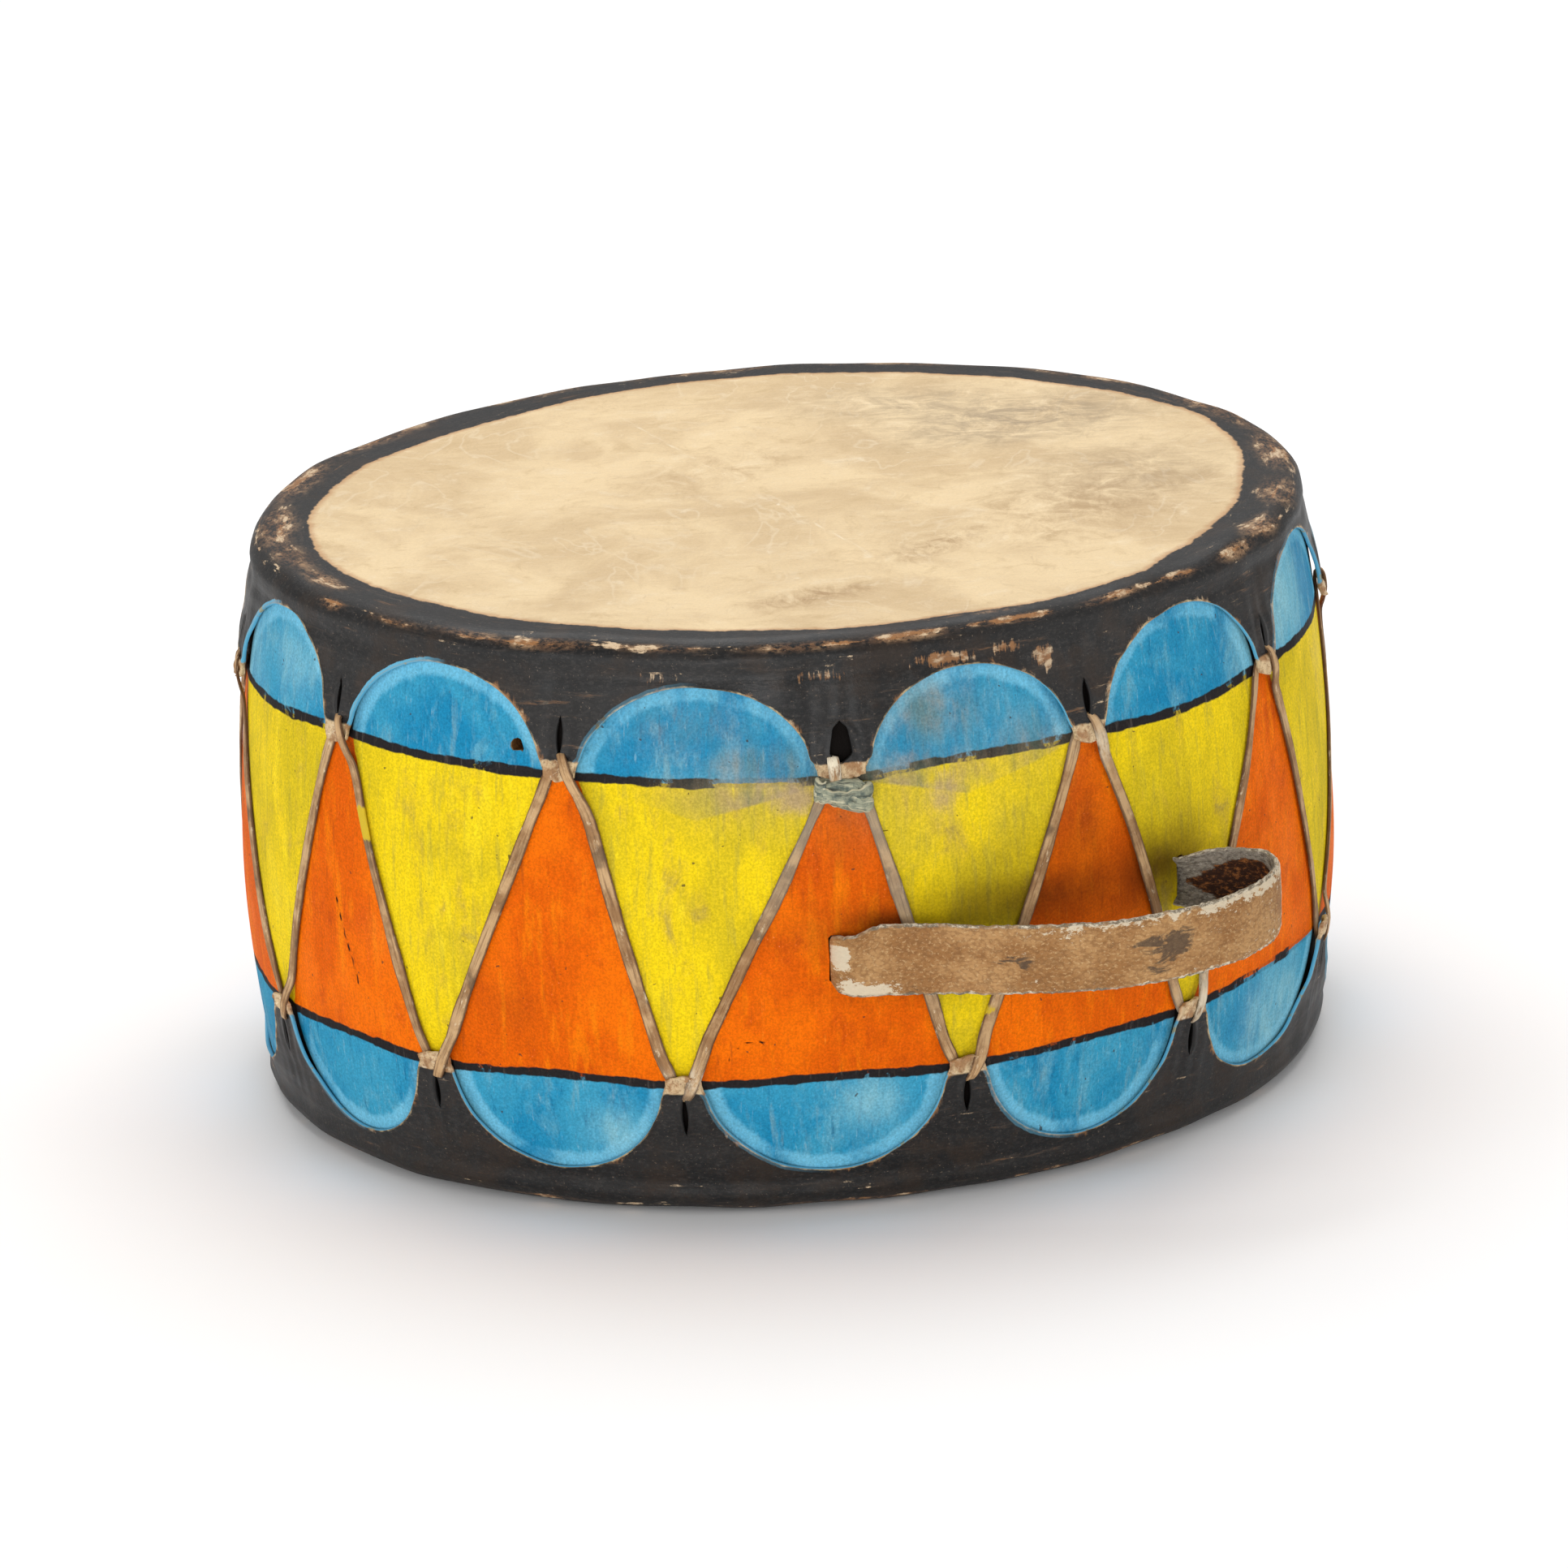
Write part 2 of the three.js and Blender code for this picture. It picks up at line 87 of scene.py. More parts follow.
# How far each arch leans along the rim, as a share of its half-width.
TOP_LEANS = [0.08, 0.0, 0.0, 0.0, 0.0, -0.10, 0.05, -0.04, 0.03, 0.06, -0.05, 0.02]
BOTTOM_LEANS = [0.06, 0.0, 0.03, 0.0, -0.12, 0.04, -0.05, 0.0, 0.05, -0.03, 0.04, 0.0]
SPLICED_TAB = 3


# ---------------------------------------------------------------- the oval log's surface
def smoothstep(value, start, end):
    share = np.clip((value - start) / (end - start), 0, 1)
    return share * share * (3 - 2 * share)


def wrapped(angle):
    """The same angle, from -180 to 180."""
    return (angle + 180) % 360 - 180


def bell(value, middle, width, power=2):
    """1 at `middle`, falling smoothly to almost nothing two widths away."""
    return np.exp(-(((value - middle) / width) ** power))


def swollen(value, power):
    """A sine or cosine pushed out towards -1 and 1, which squares up a circle."""
    return np.sign(value) * np.abs(value) ** power


def around(angle, places):
    """A value that goes smoothly round the drum through given (angle, value) places."""
    angles = np.array([p[0] for p in places], float)
    values = np.array([p[1] for p in places], float)
    angles = np.concatenate([angles - 360, angles, angles + 360])
    values = np.tile(values, 3)
    turned = wrapped(np.asarray(angle, float))
    i = np.clip(np.searchsorted(angles, turned) - 1, 0, len(angles) - 2)
    share = smoothstep(turned, angles[i], angles[i + 1])
    return values[i] + (values[i + 1] - values[i]) * share


class Waves:
    """A smooth random value round the drum, repeating every lap, that may change with height."""

    def __init__(self, seed, lowest, highest, count=9, climb=0.0):
        draw = np.random.default_rng(seed)
        self.turns = draw.integers(lowest, highest + 1, count)
        self.phases = draw.uniform(0, 2 * math.pi, count)
        self.climbs = draw.normal(0, climb, count)
        self.scale = 1 / math.sqrt(count / 2)

    def __call__(self, angle, height=0.0):
        total = 0.0
        for turns, phase, climb in zip(self.turns, self.phases, self.climbs):
            total = total + np.sin(np.radians(angle) * turns + phase + climb * height)
        return total * self.scale


# How much more the log draws in towards its top, and how much it stands out towards its foot, round the drum.
TOP_DRAW = [
    (-180, 0.0022), (-150, 0.0024), (-115, 0.0020), (-85, 0.0023), (-60, 0.0010), (-35, 0.0), (45, 0.0),
    (70, 0.0012), (90, 0.0020), (115, 0.0014), (150, 0.0004),
]
FOOT_SWELL = [(-180, 0.0), (-90, 0.0004), (-50, 0.0), (45, 0.0), (80, 0.0014), (110, 0.0014), (150, 0.0)]

HEWN, RIPPLED = 0.00035, 0.0001  # how far the log's outside wanders slowly and quickly
hewn = Waves(3, 2, 11, 10, climb=16)
ripple = Waves(4, 14, 40, 12, climb=40)


def side(angle, height):
    """How far the log's outside stands beyond the mid-height oval: it bellies, and was hewn by hand."""
    k = 2 * height / HEIGHT - 1
    shape = (-BELLY * k * k - around(angle, TOP_DRAW) * smoothstep(k, -0.4, 0.7)
             + around(angle, FOOT_SWELL) * smoothstep(k, 0.1, -0.5))
    return shape + HEWN * hewn(angle, height) + RIPPLED * ripple(angle, height)


def oval_radius(angle, out):
    turn = np.radians(angle - 90 - OVAL_TURN)
    return 1 / np.hypot(np.cos(turn) / (HALF_LONG + out), np.sin(turn) / (HALF_SHORT + out))


def on_oval(angle, height, out):
    radius = oval_radius(angle, out)
    radius, height, angle = np.broadcast_arrays(radius, height, np.radians(angle))
    return np.stack([np.sin(angle) * radius, -np.cos(angle) * radius, height], -1)


def angle_of(points):
    return np.degrees(np.arctan2(points[:, 0], -points[:, 1]))


def outward(angle):
    return np.array([math.sin(math.radians(angle)), -math.cos(math.radians(angle)), 0.0])


def sideways(angle):
    return np.array([math.cos(math.radians(angle)), math.sin(math.radians(angle)), 0.0])


# ---------------------------------------------------------------- meshes
def signed_volume(points, faces):
    total = 0.0
    for n in (3, 4):
        same = np.array([f for f in faces if len(f) == n])
        if len(same):
            for k in range(1, n - 1):
                a, b, c = points[same[:, 0]], points[same[:, k]], points[same[:, k + 1]]
                total += np.einsum("ij,ij->i", a, np.cross(b, c)).sum()
    return total


def put(name, data):
    """A new object in the scene."""
    obj = bpy.data.objects.new(name, data)
    bpy.context.scene.collection.objects.link(obj)
    return obj


def closed_mesh(name, points, faces):
    """A closed mesh with its faces pointing out."""
    points = np.asarray(points, float)
    if signed_volume(points, faces) < 0:
        faces = [f[::-1] for f in faces]
    mesh = bpy.data.meshes.new(name)
    mesh.from_pydata(points.tolist(), [], faces)
    return mesh


def make(name, points, faces, material, crease=50):
    """A smooth-shaded piece of the drum."""
    mesh = closed_mesh(name, points, faces)
    mesh.shade_smooth()
    mesh.set_sharp_from_angle(angle=math.radians(crease))
    mesh.materials.append(material)
    obj = put(name, mesh)
    return obj


def store(obj, **values):
    for name, value in values.items():
        value = np.asarray(value, np.float32)
        kind = "FLOAT" if value.ndim == 1 else "FLOAT_VECTOR"
        attribute = obj.data.attributes.new(name, kind, "POINT")
        attribute.data.foreach_set("value" if value.ndim == 1 else "vector", value.ravel())


def coordinates(obj):
    co = np.zeros(len(obj.data.vertices) * 3, np.float32)
    obj.data.vertices.foreach_get("co", co)
    return co.reshape(-1, 3).astype(float)


def loft(rings, closed=False, start=0):
    """Faces joining rings of equal length: a closed stack joins its ends, an open one is capped."""
    count, n = rings
    faces = []
    for i in range(count if closed else count - 1):
        here, there = i * n + start, (i + 1) % count * n + start
        for j in range(n):
            k = (j + 1) % n
            faces.append((here + j, here + k, there + k, there + j))
    if not closed:
        faces.append(tuple(range(start, start + n))[::-1])
        faces.append(tuple(range(start + (count - 1) * n, start + count * n)))
    return faces


def through(points, spacing):
    """A smooth way through points of any number of columns, with even steps; x, y and z come first."""
    points = np.asarray(points, float)
    padded = np.vstack([2 * points[0] - points[1], points, 2 * points[-1] - points[-2]])
    fine = []
    for p0, p1, p2, p3 in zip(padded, padded[1:], padded[2:], padded[3:]):
        t = np.linspace(0, 1, 12, endpoint=False)[:, None]
        fine.append(0.5 * (2 * p1 + (p2 - p0) * t + (2 * p0 - 5 * p1 + 4 * p2 - p3) * t**2
                           + (3 * p1 - p0 - 3 * p2 + p3) * t**3))
    fine = np.vstack(fine + [points[-1:]])
    length = np.concatenate([[0], np.cumsum(np.linalg.norm(np.diff(fine[:, :3], axis=0), axis=1))])
    steps = np.linspace(0, length[-1], max(int(length[-1] / spacing), 2) + 1)
    way = np.stack([np.interp(steps, length, fine[:, c]) for c in range(fine.shape[1])], 1)
    return way, steps


def frames(way, lay):
    """Directions along a way, across it (as near to `lay` as can be) and out of its face."""
    along = np.gradient(way[:, :3], axis=0)
    along /= np.linalg.norm(along, axis=1)[:, None]
    wide = lay - along * np.einsum("ij,ij->i", lay, along)[:, None]
    wide /= np.linalg.norm(wide, axis=1)[:, None]
    return along, wide, np.cross(along, wide)


def drift(seed, length, step, amount):
    """A smooth random value along a way."""
    draw = np.random.default_rng(seed)
    knots = draw.normal(0, amount, int(length[-1] / step) + 4)
    places = np.arange(len(knots)) * step
    i = np.clip((length / step).astype(int), 0, len(knots) - 2)
    share = smoothstep(length, places[i], places[i + 1])
    return knots[i] + (knots[i + 1] - knots[i]) * share


# ---------------------------------------------------------------- materials
def rgb(red, green, blue):
    """An sRGB colour as the linear one that a shader takes."""
    def linear(c):
        c /= 255
        return c / 12.92 if c <= 0.04045 else ((c + 0.055) / 1.055) ** 2.4
    return (linear(red), linear(green), linear(blue), 1.0)


class Finish:
    """A material built from nodes, with short calls for the ones that it needs."""

    def __init__(self, name):
        self.material = bpy.data.materials.new(name)
        self.material.use_nodes = True
        self.tree = self.material.node_tree
        self.shader = self.tree.nodes["Principled BSDF"]
        self.place = self.tree.nodes.new("ShaderNodeTexCoord").outputs["Object"]

    def link(self, socket, value):
        if isinstance(value, bpy.types.NodeSocket):
            self.tree.links.new(value, socket)
        else:
            socket.default_value = value

    def node(self, kind, *values, **settings):
        """A new shader node with its settings, and values or sockets for its first inputs."""
        node = self.tree.nodes.new("ShaderNode" + kind)
        for name, setting in settings.items():
            setattr(node, name, setting)
        for socket, value in zip(node.inputs, values):
            self.link(socket, value)
        return node

    def math(self, operation, *values):
        return self.node("Math", *values, operation=operation).outputs[0]

    def chain(self, operation, first, *others):
        for other in others:
            first = self.math(operation, first, other)
        return first

    def add(self, *terms):
        return self.chain("ADD", *terms)

    def times(self, *terms):
        return self.chain("MULTIPLY", *terms)

    def either(self, *masks):
        return self.chain("MAXIMUM", *masks)

    def invert(self, value):
        return self.math("SUBTRACT", 1.0, value)

    def centred(self, noise):
        return self.math("SUBTRACT", noise, 0.5)

    def away(self, value):
        """How far a value is from 0."""
        return self.math("ABSOLUTE", value)

    def step(self, value, start, end, low=0.0, high=1.0):
        """From `low` to `high` as a value goes from `start` to `end`."""
        return self.node("MapRange", value, start, end, low, high, interpolation_type="SMOOTHSTEP").outputs[0]

    def attribute(self, name, vector=False):
        return self.node("Attribute", attribute_name=name).outputs["Vector" if vector else "Fac"]

    def attributes(self, *names):
        return [self.attribute(name) for name in names]

    def mapped(self, size, stretch, at=None, shift=0.0):
        """Coordinates in which `size` metres are one unit."""
        mapping = self.node("Mapping", at or self.place)
        mapping.inputs["Location"].default_value = (shift, shift * 1.7, shift * 0.6)
        mapping.inputs["Scale"].default_value = [s / size for s in stretch]
        return mapping.outputs[0]

    def noise(self, size, stretch=(1, 1, 1), detail=3.0, rough=0.55, warp=0.0, at=None, shift=0.0):
        """Noise with features of about `size` metres, from 0 to 1 with most of it near 0.5."""
        node = self.node("TexNoise", self.mapped(size, stretch, at, shift))
        node.inputs["Scale"].default_value = 1.0
        node.inputs["Detail"].default_value = detail
        node.inputs["Roughness"].default_value = rough
        node.inputs["Distortion"].default_value = warp
        return node.outputs[0]

    def cells(self, size, stretch, at):
        node = self.node("TexVoronoi", self.mapped(size, stretch, at))
        node.inputs["Scale"].default_value = 1.0
        return node.outputs["Distance"]

    def blot(self, x, y, half_long, half_short, turn):
        """A soft oval patch on the playing face: 1 in its middle and 0 at its edge."""
        mapping = self.node("Mapping", self.place, (x, y, HEIGHT), (0, 0, math.radians(turn)),
                            (half_long, half_short, 0.02), vector_type="TEXTURE")
        node = self.node("TexGradient", mapping.outputs[0], gradient_type="SPHERICAL")
        return self.step(node.outputs["Fac"], 0.0, 1.0)

    def mix(self, share, a, b):
        node = self.node("Mix", share, data_type="RGBA")
        self.link(node.inputs[6], a)
        self.link(node.inputs[7], b)
        return node.outputs[2]

    def tint(self, colour, value, start, end, share, tone):
        """A colour with some of a tone over it wherever a value has passed from `start` to `end`."""
        return self.mix(self.times(self.step(value, start, end), share), colour, tone)

    def scaled(self, colour, factor):
        """A colour made brighter or darker."""
        node = self.node("VectorMath", colour, operation="SCALE")
        self.link(node.inputs["Scale"], factor)
        return node.outputs[0]

    def finish(self, colour, roughness, height=None, relief=0.0003, **constants):
        self.link(self.shader.inputs["Base Color"], colour)
        self.link(self.shader.inputs["Roughness"], roughness)
        for name, value in constants.items():
            self.shader.inputs[name.replace("_", " ")].default_value = value
        if height is not None:
            bump = self.node("Bump")
            bump.inputs["Strength"].default_value = 1.0
            bump.inputs["Distance"].default_value = relief
            self.link(bump.inputs["Height"], height)
            self.link(self.shader.inputs["Normal"], bump.outputs[0])
        return self.material


def painted_wood():
    f = Finish("painted_wood")
    zigzag, band, smudge, wear = f.attributes("zigzag", "band", "smudge", "wear")
    under, soot, crack, covered = f.attributes("under", "soot", "crack", "covered")
    ragged = f.noise(0.004, detail=4)
    edge = f.math("MULTIPLY_ADD", ragged, 0.0016, -0.0008)
    threads = f.noise(0.0009, (1, 1, 0.10), detail=4, rough=0.6)
    streaks = f.noise(0.0022, (1, 1, 0.09), detail=5, rough=0.65, shift=1)
    brush = f.noise(0.006, (1, 1, 0.16), detail=5, rough=0.65, shift=3)
    clouds = f.noise(0.030, (1, 1, 0.7), detail=6, rough=0.62, warp=0.5, shift=7)
    patches = f.noise(0.011, (1, 1, 0.5), detail=6, rough=0.7, warp=0.4, shift=11)
    speck = f.noise(0.0008, detail=3, rough=0.7, shift=5)

    yellow = f.mix(f.step(clouds, 0.40, 0.62), rgb(228, 198, 18), rgb(206, 181, 28))
    yellow = f.tint(yellow, patches, 0.52, 0.70, 0.6, rgb(190, 160, 52))
    yellow = f.tint(yellow, streaks, 0.50, 0.68, 0.42, rgb(158, 146, 58))
    yellow = f.tint(yellow, brush, 0.47, 0.32, 0.7, rgb(232, 206, 32))
    yellow = f.tint(yellow, patches, 0.62, 0.76, 0.55, rgb(140, 128, 74))
    orange = f.mix(f.step(clouds, 0.40, 0.60), rgb(230, 106, 2), rgb(212, 90, 4))
    orange = f.tint(orange, brush, 0.52, 0.68, 0.6, rgb(238, 126, 6))
    orange = f.tint(orange, patches, 0.54, 0.70, 0.6, rgb(184, 70, 8))
    orange = f.tint(orange, streaks, 0.58, 0.74, 0.5, rgb(150, 66, 22))
    orange = f.tint(orange, threads, 0.62, 0.76, 0.25, rgb(238, 150, 44))
    orange = f.mix(f.times(f.attribute("browned"), f.step(patches, 0.35, 0.6, 0.5, 1.0)), orange,
                   rgb(128, 58, 14))
    blue = f.mix(f.step(clouds, 0.38, 0.60), rgb(24, 126, 168), rgb(54, 146, 180))
    blue = f.tint(blue, patches, 0.50, 0.70, 0.75, rgb(96, 160, 182))
    blue = f.tint(blue, streaks, 0.55, 0.72, 0.6, rgb(24, 100, 138))
    blue = f.tint(blue, brush, 0.56, 0.72, 0.5, rgb(126, 168, 176))
    blue = f.tint(blue, threads, 0.60, 0.76, 0.35, rgb(168, 190, 190))
    halo = f.times(f.step(f.add(covered, f.times(patches, 0.005)), -0.0034, -0.0010),
                   f.step(clouds, 0.34, 0.56))
    blue = f.mix(f.times(halo, 0.8), blue, rgb(112, 184, 212))
    faded = f.times(f.attribute("faded"), f.step(f.add(patches, f.times(brush, 0.5)), 0.50, 0.90, 0.40, 1.0))
    blue = f.mix(f.times(faded, 0.9), blue, rgb(150, 198, 206))

    paint = f.mix(f.step(f.add(zigzag, edge), -0.0002, 0.0002), orange, yellow)
    paint = f.mix(f.step(f.add(band, edge), -0.0002, 0.0002), paint, blue)
    thickness = f.math("MULTIPLY_ADD", f.noise(0.011, detail=3, shift=2), 0.0024, 0.0003)
    off_line = f.math("SUBTRACT", f.away(f.add(band, f.times(edge, 0.7))), thickness)
    worn_line = f.step(f.add(patches, f.times(smudge, 0.10), f.times(f.attribute("broken"), 0.34)), 0.60,
                       0.68)
    line = f.times(f.step(off_line, 0.0003, -0.0003), f.invert(f.times(worn_line, 0.72)))
    paint = f.mix(line, paint, f.mix(f.step(streaks, 0.55, 0.75), rgb(36, 33, 34), rgb(74, 68, 64)))

    # Grime, rubbing, the strap's painted shadow and chips.
    dirt = f.mix(f.step(patches, 0.40, 0.62), rgb(104, 112, 96), rgb(158, 140, 112))
    grime = f.times(smudge, f.step(f.add(clouds, f.times(brush, 0.7)), 0.58, 1.02))
    grime = f.either(grime, f.times(smudge, f.step(streaks, 0.46, 0.62), 0.65))
    paint = f.mix(f.times(grime, f.step(f.add(zigzag, f.times(band, 3)), -0.004, 0.0, 0.25, 1.0)), paint,
                  dirt)
    rubbed = f.step(f.add(wear, f.centred(patches)), 0.26, 0.90)
    paint = f.mix(f.times(rubbed, 0.80), paint, rgb(168, 144, 120))
    # Painted shadow: the paint goes dark brown where the strap shades the log, just above and below it.
    paint = f.mix(f.times(soot, f.step(clouds, 0.25, 0.6, 0.6, 1.0)), paint, rgb(58, 26, 4))
    chips = f.times(f.step(speck, 0.66, 0.74), f.step(patches, 0.55, 0.68))
    paint = f.mix(f.times(chips, 0.7), paint, rgb(206, 184, 144))
    dots = f.times(f.step(f.noise(0.0024, detail=1, shift=21), 0.765, 0.79), 0.75)
    paint = f.mix(dots, paint, rgb(64, 50, 38))
    paint = f.mix(f.step(crack, 0.0006, 0.0002), paint, rgb(26, 20, 16))
    paint = f.scaled(paint, f.add(f.step(speck, 0.3, 0.7, 0.78, 1.14), f.step(threads, 0.3, 0.7, 0.0, 0.08)))

    fibres = f.noise(0.0016, (1, 1, 0.08), detail=5, rough=0.65, shift=9)
    wood = f.mix(f.step(fibres, 0.3, 0.7), rgb(132, 92, 52), rgb(78, 48, 26))
    cream_lip = f.step(under, 0.0010, 0.0004)
    wood = f.mix(cream_lip, wood, rgb(188, 156, 112))
    bare = f.step(f.add(under, f.times(edge, 0.3)), 0.0001, 0.00035)
    colour = f.mix(bare, paint, wood)
    # Painted shade: the log is near black where a skin covers it, as seen through the slits and under the cut
    # edges.
    dark = f.step(f.add(covered, f.times(edge, 0.25)), 0.0009, 0.0020)
    colour = f.mix(dark, colour, rgb(18, 14, 12))
    roughness = f.step(f.add(clouds, f.times(streaks, 0.5)), 0.45, 1.0, 0.50, 0.74)
    height = f.add(f.times(streaks, 0.5), f.times(brush, 0.35), f.times(speck, 0.3),
                   f.times(patches, 0.3), f.step(crack, 0.0, 0.0006, -1.5, 0.0))
    return f.finish(colour, roughness, height, relief=0.0004, Specular_IOR_Level=0.05)


def rawhide():
    f = Finish("rawhide")
    grain = f.attribute("grain", vector=True)
    ring, crest, cut, wall = f.attributes("ring", "crest", "cut", "wall")
    slit, bar, wear, rub = f.attributes("slit", "bar", "wear", "rub")
    ragged = f.noise(0.005, detail=5, rough=0.6)
    centred = f.centred(ragged)
    clouds = f.noise(0.05, detail=6, rough=0.6, warp=0.6, shift=4)
    mottle = f.noise(0.014, detail=6, rough=0.7, warp=0.8, shift=9)
    fibres = f.noise(0.004, (1, 0.35, 1), detail=5, rough=0.7, warp=1.2, shift=2)
    hairs = f.noise(0.0022, (0.22, 1, 1), detail=4, rough=0.65, warp=0.8, shift=23)
    veins = f.noise(0.05, (1, 0.6, 1), detail=3, rough=0.5, warp=1.6, shift=13)
    scratches = f.noise(0.0024, (0.10, 0.10, 1), detail=5, rough=0.68, at=grain)
    strokes = f.noise(0.0016, (1, 1, 0.16), detail=4, rough=0.65, at=grain, shift=15)
    brushed = f.noise(0.010, (0.16, 0.16, 1), detail=4, rough=0.6, at=grain, shift=6)
    pores = f.noise(0.0009, detail=3, rough=0.7, shift=3)
    patchy = f.noise(0.006, (0.45, 0.45, 1), detail=6, rough=0.72, at=grain, shift=27)

    # Bare hide: cream-tan and clouded, with pale veins, a grey stain and a few brown streaks.
    hide = f.mix(f.step(clouds, 0.38, 0.64), rgb(232, 206, 162), rgb(211, 183, 140))
    hide = f.tint(hide, mottle, 0.52, 0.72, 0.55, rgb(196, 168, 124))
    hide = f.tint(hide, mottle, 0.46, 0.28, 0.45, rgb(240, 221, 188))
    vein = f.step(f.away(f.centred(veins)), 0.016, 0.0)
    hide = f.mix(f.times(vein, f.step(clouds, 0.45, 0.60), 0.28), hide, rgb(244, 228, 198))
    hide = f.tint(hide, fibres, 0.58, 0.76, 0.32, rgb(184, 156, 116))
    hide = f.tint(hide, hairs, 0.58, 0.72, 0.28, rgb(182, 152, 112))
    hide = f.tint(hide, hairs, 0.42, 0.28, 0.28, rgb(246, 230, 200))
    grey = f.either(f.blot(0.082, 0.079, 0.075, 0.050, 20),
                    f.times(f.blot(0.055, 0.100, 0.08, 0.04, -10), 0.7),
                    f.times(f.blot(0.118, 0.010, 0.07, 0.06, 60), 0.45))
    hide = f.mix(f.times(grey, f.step(f.add(mottle, f.times(hairs, 0.4)), 0.50, 0.84), 0.8), hide,
                 rgb(146, 128, 106))
    brown = f.either(f.blot(0.0095, -0.1196, 0.040, 0.014, 25),
                     f.blot(0.052, -0.066, 0.042, 0.014, 50),
                     f.times(f.blot(0.100, -0.026, 0.080, 0.050, 60), 0.6),
                     f.times(f.blot(-0.02, 0.03, 0.06, 0.03, 35), 0.4))
    hide = f.mix(f.times(brown, f.step(f.add(mottle, f.times(fibres, 0.5)), 0.58, 0.92), 0.8),
                 hide, rgb(158, 122, 80))
    crease = f.step(f.away(f.attribute("fold")), 0.0009, 0.0002)
    hide = f.mix(f.times(crease, f.step(mottle, 0.35, 0.6), 0.55), hide, rgb(250, 236, 210))
    hide = f.scaled(hide, f.step(pores, 0.3, 0.7, 0.95, 1.03))

    # The black paint on the rim and the scalloped side.
    grit = f.noise(0.0011, (0.5, 0.5, 1), detail=4, rough=0.7, at=grain, shift=19)
    black = f.mix(f.step(brushed, 0.42, 0.66), rgb(13, 12, 12), rgb(27, 25, 24))
    black = f.tint(black, grit, 0.46, 0.66, 0.75, rgb(44, 41, 39))
    black = f.tint(black, scratches, 0.56, 0.68, 0.6, rgb(60, 50, 42))
    black = f.tint(black, pores, 0.64, 0.72, 0.6, rgb(120, 104, 88))
    browned = f.times(f.step(f.noise(0.022, detail=5, rough=0.65, shift=17), 0.48, 0.66), 0.7)
    black = f.mix(browned, black, rgb(42, 30, 20))
    black = f.scaled(black, f.step(pores, 0.3, 0.7, 0.8, 1.25))
    tan = f.mix(f.step(patchy, 0.50, 0.62), rgb(150, 104, 62), rgb(208, 182, 148))
    tan = f.tint(tan, grit, 0.52, 0.66, 0.6, rgb(96, 68, 46))
    cream = f.mix(f.step(ragged, 0.38, 0.62), rgb(196, 176, 136), rgb(126, 104, 74))
    dirty = f.mix(f.step(ragged, 0.42, 0.60), rgb(208, 182, 142), rgb(158, 118, 78))
    dirty = f.tint(dirty, pores, 0.50, 0.66, 0.6, rgb(122, 86, 54))
    dirty = f.tint(dirty, fibres, 0.56, 0.68, 0.6, rgb(230, 214, 184))

    painted = f.step(f.add(ring, f.times(centred, 0.0035)), -0.0004, 0.0005)
    stain = f.times(f.step(f.add(ring, f.times(centred, 0.004)), -0.0030, -0.0002), 0.55)
    hide = f.mix(stain, hide, rgb(176, 120, 72))
    near = f.step(f.away(f.add(crest, f.times(centred, 0.003))), 0.0016, 0.0)
    rubbing = f.add(f.times(near, wear, 0.085), f.times(rub, 0.130), f.times(patchy, 0.55),
                    f.times(scratches, 0.45))
    rubbed = f.step(rubbing, 0.615, 0.665)
    gold = f.times(f.step(f.add(f.times(f.attribute("brush"), 0.34), f.times(strokes, 0.6),
                                f.times(patchy, 0.4)),
                          0.72, 0.80), 0.8)
    scuffs = f.times(f.step(f.add(f.times(scratches, 0.7), f.times(brushed, 0.4)), 0.66, 0.74), 0.4)
    haze = f.times(f.step(rub, 0.10, 0.75), f.step(f.add(grit, f.times(patchy, 0.6)), 0.67, 0.86), 0.85)
    black = f.mix(haze, black, f.mix(f.step(patchy, 0.45, 0.60), rgb(104, 74, 50), rgb(170, 134, 98)))
    colour = f.mix(painted, hide, f.mix(f.either(rubbed, gold, scuffs), black, tan))
    frayed = f.step(f.add(cut, f.times(centred, 0.0016)), 0.00055, 0.00020)
    colour = f.mix(f.times(frayed, f.step(mottle, 0.40, 0.55, 0.25, 0.85)), colour, cream)
    shreds = f.times(f.step(f.add(cut, f.times(strokes, 0.006)), 0.0046, 0.0030),
                     f.step(mottle, 0.50, 0.60), 0.75)
    colour = f.mix(shreds, colour, tan)
    coated = f.mix(f.step(ragged, 0.58, 0.66), rgb(92, 166, 196), rgb(150, 146, 116))
    lapped = f.step(f.add(cut, f.times(centred, 0.0014)), 0.0015, 0.0012)
    colour = f.mix(f.times(lapped, f.attribute("lap")), colour, coated)
    colour = f.mix(f.times(f.step(wall, 0.30, 0.60), f.step(slit, 0.0025, 0.0035)), colour, coated)
    colour = f.mix(f.step(f.away(f.math("SUBTRACT", cut, 0.0004)), 0.00022, 0.0, 0.0, 0.6),
                   colour,
                   f.mix(f.attribute("lap"), colour, rgb(150, 132, 102)))
    bared = f.step(f.add(bar, f.times(centred, 0.6)), 0.38, 0.6)
    colour = f.mix(bared, colour, dirty)
    # Painted shade: the slits' walls and rims are darkened to near black.
    slit_shade = f.step(f.add(slit, f.times(centred, 0.0010)), 0.0008, 0.0001)
    colour = f.mix(slit_shade, colour, rgb(12, 10, 9))
    roughness = f.mix(painted, f.step(mottle, 0.3, 0.7, 0.52, 0.66), f.step(brushed, 0.3, 0.7, 0.40, 0.60))
    height = f.add(f.times(scratches, 0.5), f.times(ragged, 0.4), f.times(fibres, 0.3), f.times(pores, 0.3))
    return f.finish(colour, roughness, height, relief=0.0003, Specular_IOR_Level=0.34)


